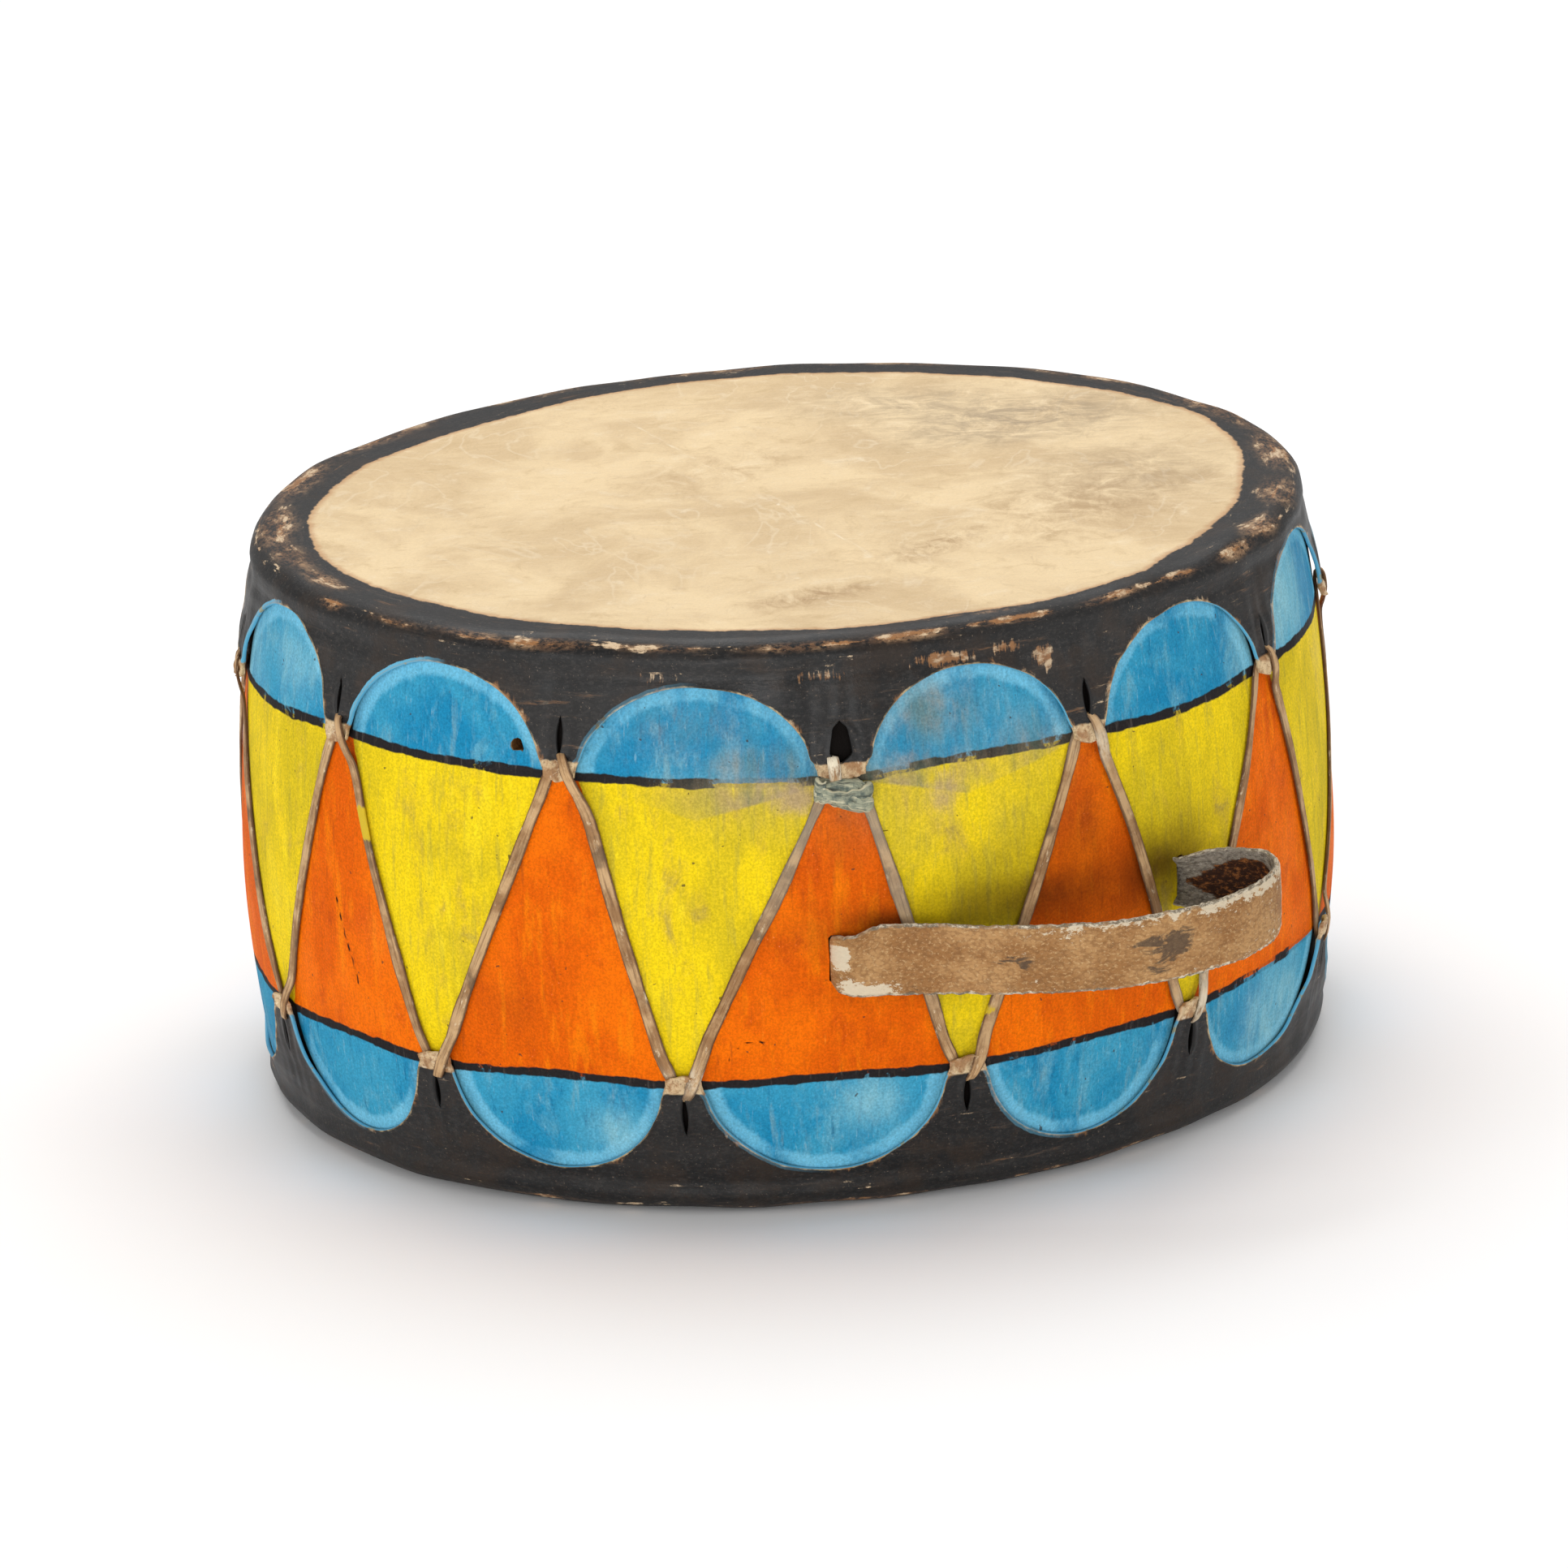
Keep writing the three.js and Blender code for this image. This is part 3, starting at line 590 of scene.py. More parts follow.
def thong_hide():
    f = Finish("thong_hide")
    grain = f.attribute("grain", vector=True)
    across, grey = f.attributes("across", "grey")
    fibres = f.noise(0.0009, (0.05, 1, 1), detail=5, rough=0.65, at=grain)
    blots = f.noise(0.012, detail=5, rough=0.65, at=grain, shift=5)
    fray = f.noise(0.0022, (0.35, 1, 1), detail=5, rough=0.75, at=grain, shift=8)
    colour = f.mix(f.step(blots, 0.38, 0.62), rgb(196, 160, 116), rgb(150, 112, 74))
    colour = f.tint(colour, fibres, 0.48, 0.66, 0.7, rgb(108, 76, 48))
    colour = f.tint(colour, fibres, 0.42, 0.28, 0.5, rgb(216, 186, 144))
    # The thong's sides darken: partly dirt, partly painted shade where they lie against the log.
    rim = f.step(f.add(f.away(across), f.times(fray, 0.6)), 0.92, 1.22)
    colour = f.mix(f.times(rim, 0.85), colour, rgb(84, 56, 36))
    colour = f.tint(colour, fray, 0.58, 0.70, 0.75, rgb(228, 208, 174))
    colour = f.mix(f.times(f.step(f.noise(0.016, detail=4, at=grain, shift=14), 0.60, 0.68), 0.6), colour,
                   rgb(86, 70, 54))
    colour = f.mix(f.times(grey, f.step(blots, 0.2, 0.6, 0.55, 1.0)), colour, rgb(146, 136, 118))
    colour = f.mix(f.times(f.attribute("pale"), f.step(fray, 0.36, 0.56)), colour, rgb(232, 220, 194))
    colour = f.mix(f.step(f.add(f.attribute("daub"), f.times(fray, 0.5)), 0.85, 0.95), colour,
                   rgb(206, 176, 34))
    height = f.add(fibres, f.times(fray, 0.8))
    return f.finish(colour, f.step(blots, 0.3, 0.7, 0.55, 0.72), height, relief=0.0004,
                    Specular_IOR_Level=0.2)


def sinew():
    f = Finish("sinew")
    grain = f.attribute("grain", vector=True)
    fibres = f.noise(0.0008, (0.10, 1, 1), detail=5, rough=0.65, at=grain)
    blots = f.noise(0.005, detail=5, rough=0.65, at=grain, shift=4)
    colour = f.mix(f.step(blots, 0.40, 0.58), rgb(150, 152, 130), rgb(88, 98, 90))
    colour = f.tint(colour, fibres, 0.54, 0.66, 0.7, rgb(212, 204, 172))
    colour = f.tint(colour, fibres, 0.46, 0.32, 0.8, rgb(54, 54, 48))
    # Painted highlight: the strands' edges are lighter cream.
    ridge = f.step(f.add(f.away(f.attribute("across")), f.times(blots, 0.6)), 1.05, 1.25)
    colour = f.mix(f.times(ridge, 0.75), colour, rgb(216, 206, 172))
    colour = f.tint(colour, blots, 0.62, 0.72, 0.7, rgb(196, 172, 128))
    return f.finish(colour, 0.66, f.add(fibres, f.times(blots, 0.5)), relief=0.0004, Specular_IOR_Level=0.2)


def strap_leather():
    f = Finish("strap_leather")
    grain = f.attribute("grain", vector=True)
    front, rim, worn, stain, hollow = f.attributes("front", "rim", "worn", "stain", "hollow")
    pebbles = f.cells(0.0010, (0.7, 1, 1), at=grain)
    pits = f.noise(0.0010, (0.7, 1, 1), detail=4, rough=0.75, at=grain)
    blots = f.noise(0.014, (0.7, 1, 1), detail=6, rough=0.65, at=grain, shift=3)
    fray = f.noise(0.0016, (0.6, 1, 1), detail=5, rough=0.75, at=grain, shift=6)
    flakes = f.noise(0.0045, (0.7, 1, 1), detail=5, rough=0.7, at=grain, shift=12)
    colour = f.mix(f.step(blots, 0.38, 0.60), rgb(178, 136, 88), rgb(148, 104, 60))
    colour = f.mix(f.times(f.step(f.add(pebbles, f.times(pits, 0.4)), 0.60, 0.95), 0.45), colour,
                   rgb(116, 78, 44))
    colour = f.tint(colour, pits, 0.52, 0.64, 0.55, rgb(208, 174, 126))
    colour = f.tint(colour, flakes, 0.56, 0.68, 0.5, rgb(128, 92, 56))
    charcoal = f.noise(0.006, (0.6, 1.6, 1), detail=6, rough=0.72, warp=0.6, at=grain, shift=18)
    dark = f.step(f.add(stain, f.times(f.centred(charcoal), 2.6)), 0.50, 0.75)
    colour = f.mix(f.times(dark, 0.78), colour, rgb(62, 54, 48))
    pale = f.step(f.add(worn, f.times(f.centred(flakes), 1.5),
                        f.times(f.centred(fray), 1.5)),
                  0.42, 0.50)
    colour = f.mix(f.times(pale, 0.85), colour, rgb(214, 200, 174))
    suede = f.mix(f.step(fray, 0.36, 0.66), rgb(150, 142, 128), rgb(88, 80, 70))
    # Painted shade inside the strap's loop: there the flesh side goes dark brown.
    deep = f.mix(f.step(fray, 0.48, 0.66), rgb(50, 26, 12), rgb(148, 92, 46))
    suede = f.tint(suede, pits, 0.54, 0.66, 0.6, rgb(196, 188, 172))
    suede = f.mix(f.step(f.add(hollow, f.times(fray, 0.9)), 0.75, 1.05), suede, deep)
    colour = f.mix(f.step(front, 0.55, 0.45), colour, suede)
    edge = f.step(f.add(rim, f.times(fray, 0.0018)), 0.0015, 0.0010)
    trim = f.mix(f.step(fray, 0.44, 0.60), rgb(116, 104, 86), rgb(214, 202, 180))
    colour = f.mix(f.times(edge, f.step(flakes, 0.42, 0.54, 0.35, 1.0)), colour, trim)
    height = f.add(f.times(f.invert(pebbles), 0.7), f.times(pits, 0.6), f.times(fray, 0.3))
    return f.finish(colour, f.step(pits, 0.3, 0.7, 0.60, 0.80), height, relief=0.0005, Specular_IOR_Level=0.2)


def whittled_wood():
    f = Finish("whittled_wood")
    fibres = f.noise(0.0014, (1, 1, 0.08), detail=5, rough=0.6)
    knots = f.noise(0.012, (1, 1, 0.4), detail=4, shift=4)
    colour = f.mix(f.step(fibres, 0.35, 0.68), rgb(176, 134, 88), rgb(126, 88, 52))
    colour = f.tint(colour, knots, 0.58, 0.74, 0.6, rgb(96, 64, 38))
    return f.finish(colour, f.step(knots, 0.3, 0.7, 0.55, 0.72), fibres, relief=0.0003)


# ---------------------------------------------------------------- the painted log
# Heights of the black lines round the drum.
UPPER_LINE = [
    (-81.7, 0.1505), (-67, 0.1500), (-53, 0.1515), (-40, 0.1505), (-24.6, 0.1495), (-10, 0.1482),
    (5.7, 0.1475), (20, 0.1500), (34.9, 0.1500), (50, 0.1485), (65.4, 0.1505), (95, 0.1495), (125, 0.1510),
    (155, 0.1492), (185, 0.1505), (215, 0.1495), (246, 0.1510),
]
LOWER_LINE = [
    (-81.7, 0.0475), (-67, 0.0462), (-53, 0.0478), (-40.6, 0.0458), (-26, 0.0478), (-12.5, 0.0460),
    (4, 0.0472), (18.6, 0.0458), (34, 0.0470), (48.6, 0.0460), (65, 0.0480), (95, 0.0465), (125, 0.0478),
    (155, 0.0462), (185, 0.0474), (215, 0.0460), (246, 0.0475),
]
LEG_TOP = 0.142  # where a leg of the thong leaves the tabs' knots, and how far beside the tab
LEG_FOOT = 0.0568
LEG_IN = 0.0072
LEG_OUT = 0.0072

# Marks on the paint, as (angle, height, half-width across, half-height, strength).
SMUDGES = [
    (-3, 0.1545, 0.020, 0.0065, 0.75), (-2, 0.1425, 0.026, 0.011, 0.9), (13, 0.141, 0.030, 0.014, 0.95),
    (19, 0.128, 0.024, 0.010, 0.8), (-10, 0.165, 0.024, 0.010, 0.45), (16, 0.166, 0.018, 0.012, 0.7),
    (22, 0.133, 0.014, 0.014, 0.5), (-43, 0.086, 0.020, 0.010, 0.25), (28, 0.148, 0.016, 0.014, 0.5),
]
RUBS = [
    (0.5, 0.1425, 0.011, 0.007, 0.9), (-2, 0.147, 0.010, 0.004, 0.6), (17, 0.139, 0.008, 0.010, 0.6),
    (14, 0.152, 0.010, 0.006, 0.5), (150, 0.12, 0.02, 0.01, 0.7), (205, 0.09, 0.02, 0.012, 0.6),
]
# Painted shadow of the strap on the log, just above and below it.
STRAP_SHADOW = [
    (27, 0.1005, 0.050, 0.010, 0.74), (44, 0.100, 0.024, 0.013, 0.86), (10, 0.0995, 0.014, 0.0045, 0.7),
    (30, 0.109, 0.040, 0.014, 0.30), (24, 0.0745, 0.050, 0.004, 0.35),
]
BROWNED = [
    (5.7, 0.130, 0.006, 0.012, 0.55), (34, 0.126, 0.012, 0.020, 0.45), (4, 0.098, 0.018, 0.008, 0.35),
    (38, 0.068, 0.012, 0.008, 0.35), (-31, 0.07, 0.01, 0.01, 0.25),
]
BROKEN = [
    (-3, 0.1480, 0.014, 0.006, 0.60), (13, 0.1495, 0.012, 0.006, 0.20), (62, 0.0475, 0.012, 0.005, 0.75),
    (72, 0.0480, 0.012, 0.006, 1.2), (-56, 0.1520, 0.004, 0.004, 0.6),
]
FADED = [
    (-76, 0.160, 0.018, 0.018, 0.7), (-62, 0.168, 0.014, 0.010, 0.6), (66, 0.030, 0.020, 0.016, 0.9),
    (72, 0.165, 0.020, 0.020, 0.9), (-20, 0.028, 0.010, 0.008, 0.6), (8, 0.036, 0.010, 0.008, 0.6),
    (62, 0.162, 0.010, 0.012, 0.5),
]
# Cracks in the paint, each a way through (angle, height).
CRACKS = [
    [(-5.0, 0.0612), (-6.4, 0.0596), (-7.5, 0.0560), (-7.9, 0.0515), (-7.6, 0.0498)],
    [(-4.6, 0.0618), (-3.6, 0.0604), (-3.2, 0.0590)],
    [(-53.6, 0.095), (-52.5, 0.083), (-51.2, 0.071), (-50.9, 0.066)],
    [(10.1, 0.1292), (10.9, 0.1300), (11.3, 0.1310)], [(2.4, 0.1187), (2.9, 0.1192)],
    [(131, 0.082), (132.2, 0.073), (132.4, 0.064)],
]


def marks(angle, height, list_of_marks):
    total = np.zeros_like(angle)
    for middle, level, across, up, strength in list_of_marks:
        a = wrapped(angle - middle) * DEGREE
        total = np.maximum(total, strength * np.exp(-(a / across) ** 2 - ((height - level) / up) ** 2))
    return total


def distance_to_ways(angle, height, ways):
    nearest = np.full_like(angle, 1.0)
    for way in ways:
        start = way[0][0]
        x = wrapped(angle - start) * DEGREE
        points = [((turned - start) * DEGREE, level) for turned, level in way]
        for (ax, az), (bx, bz) in zip(points, points[1:]):
            dx, dz = bx - ax, bz - az
            t = np.clip(((x - ax) * dx + (height - az) * dz) / (dx * dx + dz * dz), 0, 1)
            nearest = np.minimum(nearest, np.hypot(x - ax - t * dx, height - az - t * dz))
    return nearest


def zigzag_distance(angle, height):
    """Distance from the thong's zigzag: positive in the yellow panels, which hang from the top."""
    distance = np.full_like(angle, -1.0)
    for i, (tab, foot) in enumerate(zip(TOP_TABS, BOTTOM_TABS)):
        after = TOP_TABS[i + 1] if i + 1 < len(TOP_TABS) else TOP_TABS[0] + 360
        x = wrapped(angle - foot) * DEGREE
        left = (tab - foot) * DEGREE + LEG_OUT
        right = (after - foot) * DEGREE - LEG_IN
        dz = LEG_TOP - LEG_FOOT
        left_run, right_run = left + LEG_IN, right - LEG_OUT
        from_left = ((x + LEG_IN) * dz - (height - LEG_FOOT) * left_run) / math.hypot(left_run, dz)
        from_right = ((height - LEG_FOOT) * right_run - (x - LEG_OUT) * dz) / math.hypot(right_run, dz)
        distance = np.maximum(distance, np.minimum(from_left, from_right))
    return distance


def hole_cutter(angle, height, outline):
    """A prism through the log's wall with an outline of (across, up) points."""
    middle = on_oval(angle, height, -WALL / 2)
    points = []
    for depth in (-1.6 * WALL, 1.6 * WALL):
        for across, up in outline:
            points.append(middle + outward(angle) * depth + sideways(angle) * across + np.array([0, 0, up]))
    return put("cutter", closed_mesh("cutter", points, loft((2, len(outline)))))


def carve(obj, cutters):
    for cutter in cutters:
        modifier = obj.modifiers.new("hole", "BOOLEAN")
        modifier.operation = "DIFFERENCE"
        modifier.solver = "EXACT"
        modifier.object = cutter
    graph = bpy.context.evaluated_depsgraph_get()
    carved = bpy.data.meshes.new_from_object(obj.evaluated_get(graph))
    obj.modifiers.clear()
    obj.data = carved
    for cutter in cutters:
        bpy.data.objects.remove(cutter)


VENT = (-29.5, 0.1584)
VENT_OUTLINE = [
    (-0.0023, 0.0004), (-0.0024, -0.0010), (-0.0016, -0.0021), (0.0002, -0.0020), (0.0012, -0.0018),
    (0.0020, -0.0023), (0.0024, -0.0012), (0.0019, 0.0004), (0.0013, 0.0018), (0.0001, 0.0022),
    (-0.0014, 0.0016),
]
SLIT_OUTLINE = [
    (-0.0011, -0.0079), (0.0009, -0.0080), (0.0018, -0.0071), (0.0017, 0.0), (0.0019, 0.0072),
    (0.0011, 0.0081), (-0.0009, 0.0081), (-0.0018, 0.0072), (-0.0016, 0.0), (-0.0019, -0.0072),
]
LEFT_SLIT = (4.2, 0.088)
RIGHT_SLIT = (47.3, 0.0924)
LOG_COLUMNS, OUTER_ROWS, INNER_ROWS = 720, 92, 16
ADZED = 0.0006  # how unevenly the log was hollowed


def hide_cover(angle, height):
    """Distance inside the skins' cut edges: positive where a skin covers the log."""
    near_top = height > HEIGHT / 2
    cover = np.empty_like(angle)
    for mask, depth, line in ((near_top, HEIGHT - height, TOP_CUT), (~near_top, height, BOTTOM_CUT)):
        distance, inside = edge_distance(angle[mask], depth[mask], line, EDGE_REACH)
        cover[mask] = np.where(inside, distance, -distance)
    return cover


def log():
    edge = RIM - HIDE - GAP
    rows = []
    turns = np.radians([0, 22, 45, 68])
    for turn in turns:
        rows.append((RIM - edge * math.cos(turn), edge * (math.sin(turn) - 1), SHOULDER))
    for height in np.linspace(RIM, SHOULDER, OUTER_ROWS):
        rows.append((height, 0.0, None))
    for turn in turns[::-1]:
        rows.append((SHOULDER + edge * math.cos(turn), edge * (math.sin(turn) - 1), SHOULDER))
    end = HIDE + GAP
    for height in np.linspace(HEIGHT - end, end, INNER_ROWS):
        rows.append((height, -WALL, None))
    angle = np.arange(LOG_COLUMNS) * 360 / LOG_COLUMNS
    adzed = Waves(21, 18, 46, 12, climb=60)
    columns = []
    for height, out, at in rows:
        base = side(angle, at if at else height)
        if out == -WALL:
            base = base + ADZED * adzed(angle, height)
        columns.append(on_oval(angle, height, base + out))
    points = np.stack(columns, 1).reshape(-1, 3)
    obj = make("log_painted", points, loft((LOG_COLUMNS, len(rows)), closed=True), painted_wood())
    carve(obj, [hole_cutter(*VENT, VENT_OUTLINE), hole_cutter(*LEFT_SLIT, SLIT_OUTLINE),
                hole_cutter(*RIGHT_SLIT, SLIT_OUTLINE)])
    co = coordinates(obj)
    angle = angle_of(co)
    height = co[:, 2]
    upper = height - around(angle, UPPER_LINE)
    lower = around(angle, LOWER_LINE) - height
    depth = oval_radius(angle, side(angle, height)) - np.hypot(co[:, 0], co[:, 1])
    store(obj, zigzag=zigzag_distance(angle, height), band=np.maximum(upper, lower),
          smudge=marks(angle, height, SMUDGES), wear=marks(angle, height, RUBS),
          browned=marks(angle, height, BROWNED), broken=marks(angle, height, BROKEN),
          faded=marks(angle, height, FADED),
          soot=marks(angle, height, STRAP_SHADOW), under=np.maximum(depth, 0), covered=hide_cover(angle, height),
          crack=distance_to_ways(angle, height, CRACKS))
    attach(obj, "drum")
    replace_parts(obj, "log_shell")
    return obj


# ---------------------------------------------------------------- rawhide skins
TAB_COLUMNS = 9
ARCH_COLUMNS = 26
EDGE_REACH = 30
SHOULDER_TURNS = np.linspace(0, 90, 10)
SIDE_ROWS = 40
MEMBRANE_RINGS = np.array([0.985, 0.96, 0.93, 0.89, 0.84, 0.78, 0.71, 0.63, 0.54, 0.45, 0.36, 0.27, 0.18,
                           0.09])
MEMBRANE_SAG = 0.0001
# Width of the black ring on the playing face, in from the rim.
TOP_RING = [
    (-86, 0.021), (-60, 0.0190), (-45, 0.0185), (-30, 0.0160), (-15, 0.0145), (-4, 0.0125), (8, 0.0085),
    (20, 0.0090), (32, 0.0065), (47, 0.0085), (58, 0.0150), (70, 0.0185), (92, 0.0215), (110, 0.0178),
    (124, 0.0160), (138, 0.0190), (170, 0.0200), (190, 0.0200), (210, 0.0230), (226, 0.0262), (246, 0.0240),
    (260, 0.0228),
]
BOTTOM_RING = [(-80, 0.018), (-30, 0.016), (20, 0.019), (75, 0.015), (130, 0.020), (185, 0.017), (230, 0.021)]
# How strongly the black is rubbed off the rim's crest.
TOP_WEAR = [
    (-84, 1.05), (-66, 0.95), (-50, 0.60), (-34, 0.85), (-20, 1.0), (-8, 0.85), (4, 1.0), (16, 1.05),
    (30, 1.0), (44, 0.9), (56, 0.95), (72, 0.75), (90, 0.6), (115, 0.7), (140, 0.85), (165, 1.0),
    (180, 0.9), (200, 1.05), (225, 0.9), (250, 0.95),
]
BOTTOM_WEAR = [
    (-80, 0.9), (-50, 0.7), (-20, 1.0), (0, 0.8), (25, 1.0), (50, 0.9), (90, 0.7), (140, 0.9), (200, 0.8),
]
CURL = 0.0003  # how far a skin's cut edge curls away from the log
LIP = 0.00012  # and how unevenly it was cut
# Round the shoulder the hide stands up in a ridge and then draws in, at these depths and half-widths.
CREST_RIDGE, RIDGE_DEPTH, RIDGE_WIDTH = 0.0003, 0.0062, 0.0020
CREST_GROOVE, GROOVE_DEPTH, GROOVE_WIDTH = 0.0005, 0.0118, 0.0026
LUMP = 0.0014  # how far the gathered hide bulges below a slit
PINCH = 0.22  # how much a tab narrows below its slit, as a share of its width
RIM_DIP = 0.0005  # how far the rim's crest dips here and there
TENSION_FOLD, FOLD_SPACING, FOLD_REACH = 0.00022, 0.0065, 0.010  # the pleats that fan out from a slit
FOLD_RISE = 0.0001
CREASED = 0.00014  # fine upright creases round the side
SLIT_LIP, SLIT_LIP_WIDTH = 0.0003, 0.0011
CRUMPLED = 0.00028  # fine crumples over the gathered hide
EDGE_ROUND = 0.0003  # how far the cut edge is rounded out
MEMBRANE_WAVE = 0.00012
# The slits' widths, and how far their tops and feet are above the tab's end: least and most.
SLIT_WIDTHS = (0.0021, 0.0030)
SLIT_TOPS = (0.0170, 0.0205)
SLIT_FEET = (0.0046, 0.0056)
SPLICED_SLIT = (0.0076, 0.0166, 0.0040)  # the wide slit under the binding: its width, top and foot
# How much blue paint laps over the cut edge to the right of each tab.
TOP_LAPS = [1.0, 1.0, 0.25, 0.0, 0.0, 0.2, 0.5, 0.0, 0.6, 0.0, 0.8, 0.4]
BOTTOM_LAPS = [0.3, 0.0, 0.2, 0.3, 0.0, 0.6, 0.0, 0.5, 0.0, 0.4, 0.0, 0.8]
# Pale creases across the playing face, each from one (x, y) to another.
FOLDS = [
    ((-0.117, 0.041), (-0.098, 0.052)), ((-0.060, 0.113), (-0.016, 0.018)),
    ((-0.016, 0.018), (0.030, -0.075)), ((-0.020, -0.120), (0.044, -0.066)),
    ((0.039, 0.040), (0.064, 0.048)),
]
# Where the black was brushed on thinly below the crest, as for the patches below.
BRUSHED = [
    (18, 0.0095, 0.016, 0.0035, 1.0), (26, 0.0090, 0.010, 0.0030, 0.9), (30, 0.0140, 0.006, 0.0060, 1.0),
    (4, 0.0110, 0.020, 0.0030, 0.7), (-14, 0.0105, 0.018, 0.0040, 0.6), (45, 0.006, 0.014, 0.0030, 0.5),
    (160, 0.012, 0.03, 0.005, 0.8), (220, 0.012, 0.03, 0.005, 0.7),
]
# Patches rubbed off the rim, as (angle, distance below the crest, half-width across, half-height, strength).
TOP_RUBS = [
    (-84, -0.0070, 0.024, 0.0065, 1.0), (-72, -0.0085, 0.020, 0.0050, 0.95),
    (-62, -0.0080, 0.016, 0.0040, 0.8), (-56, 0.0005, 0.007, 0.0020, 1.0), (-45, 0.0, 0.016, 0.0018, 0.5),
    (-36, -0.0010, 0.014, 0.0018, 0.75), (-27, 0.0004, 0.016, 0.0020, 1.0), (-14, 0.0, 0.020, 0.0018, 0.55),
    (2, 0.0006, 0.022, 0.0018, 0.75), (14, 0.0004, 0.016, 0.0018, 0.95), (27, 0.0, 0.016, 0.0016, 0.75),
    (26, -0.0050, 0.010, 0.0014, 0.7), (41, 0.0, 0.016, 0.0014, 0.9), (52, 0.0003, 0.010, 0.0016, 0.9),
    (63, 0.0010, 0.012, 0.0026, 0.9), (71, -0.0030, 0.014, 0.0050, 0.9), (84, -0.0050, 0.016, 0.0065, 1.0),
    (100, -0.005, 0.022, 0.007, 1.05), (118, -0.004, 0.03, 0.006, 1.05), (140, -0.003, 0.03, 0.005, 1.1),
    (164, -0.003, 0.035, 0.004, 1.0), (188, -0.003, 0.035, 0.005, 1.05), (212, -0.002, 0.035, 0.005, 1.0),
    (238, -0.003, 0.035, 0.006, 1.05), (258, -0.005, 0.025, 0.007, 1.0),
]
BOTTOM_RUBS = [
    (-60, -0.001, 0.02, 0.0012, 0.7), (-28, 0.0, 0.02, 0.0010, 0.7), (5, -0.001, 0.03, 0.0012, 0.8),
    (38, 0.0, 0.02, 0.0012, 0.8), (66, -0.002, 0.01, 0.0015, 0.7), (100, 0.0, 0.02, 0.0015, 0.8),
    (150, 0.0, 0.03, 0.0012, 0.8), (210, 0.0, 0.03, 0.0015, 0.8),
]


def tab_frame(angle, tabs):
    """The nearest tab to each angle, and the distance across from it in metres."""
    tabs = np.asarray(tabs, float)
    apart = wrapped(angle[..., None] - tabs)
    index = np.abs(apart).argmin(-1)
    return index, np.take_along_axis(apart, index[..., None], -1)[..., 0] * DEGREE


def cut_line(tabs, halves, arches, leans, tab_end, seed):
    """A skin's cut edge: its columns' angles and depths below the face, and the columns of its slits."""
    angle, edge, splits = [], [], []
    for i, tab in enumerate(tabs):
        after = tabs[i + 1] if i + 1 < len(tabs) else tabs[0] + 360
        half_here, half_after = halves[i], halves[(i + 1) % len(tabs)]
        start, end = tab + half_here, after - half_after
        middle, half = (start + end) / 2, (end - start) / 2
        splits.append(len(angle))
        for k in range(TAB_COLUMNS):
            share = k / TAB_COLUMNS
            angle.append(tab + half_here * share)
            edge.append(tab_end + TAB_POINT * (1 - share**2))
        for k in range(-ARCH_COLUMNS, ARCH_COLUMNS + 1):
            turn = math.pi / 2 * k / ARCH_COLUMNS
            angle.append(middle + half * (math.sin(turn) + leans[i] * math.cos(turn) ** 2))
            edge.append(tab_end - (tab_end - arches[i]) * math.cos(turn))
        for k in range(TAB_COLUMNS - 1, 0, -1):
            share = k / TAB_COLUMNS
            angle.append(after - half_after * share)
            edge.append(tab_end + TAB_POINT * (1 - share**2))
    angle, edge = np.array(angle), np.array(edge)
    return angle, edge + LIP * Waves(seed, 8, 34, 12)(angle), splits


def edge_distance(angle, depth, line, reach):
    """Distance from the nearest of a cut edge's segments, looking `reach` columns to either side."""
    line_angle, line_depth = line[:2]
    count = len(line_angle)
    lap = 360 * DEGREE
    at = (angle - line_angle[0]) % 360 + line_angle[0]
    column = np.searchsorted(line_angle, at)
    x, x_line = at * DEGREE, line_angle * DEGREE
    nearest = np.full(np.shape(angle), 1.0)
    for offset in range(-reach, reach):
        a = (column + offset) % count
        b = (a + 1) % count
        ax = (x_line[a] - x + lap / 2) % lap - lap / 2
        bx = (x_line[b] - x + lap / 2) % lap - lap / 2
        ad, bd = line_depth[a] - depth, line_depth[b] - depth
        dx, dd = bx - ax, bd - ad
        t = np.clip(-(ax * dx + ad * dd) / np.maximum(dx * dx + dd * dd, 1e-12), 0, 1)
        nearest = np.minimum(nearest, np.hypot(ax + t * dx, ad + t * dd))
    inside = depth < np.interp(at, np.append(line_angle, line_angle[0] + 360),
                               np.append(line_depth, line_depth[0]))
    return nearest, inside


TOP_CUT = cut_line(TOP_TABS, TOP_HALVES, TOP_ARCHES, TOP_LEANS, TOP_TAB_END, 61)
BOTTOM_CUT = cut_line(BOTTOM_TABS, BOTTOM_HALVES, BOTTOM_ARCHES, BOTTOM_LEANS, BOTTOM_TAB_END, 81)


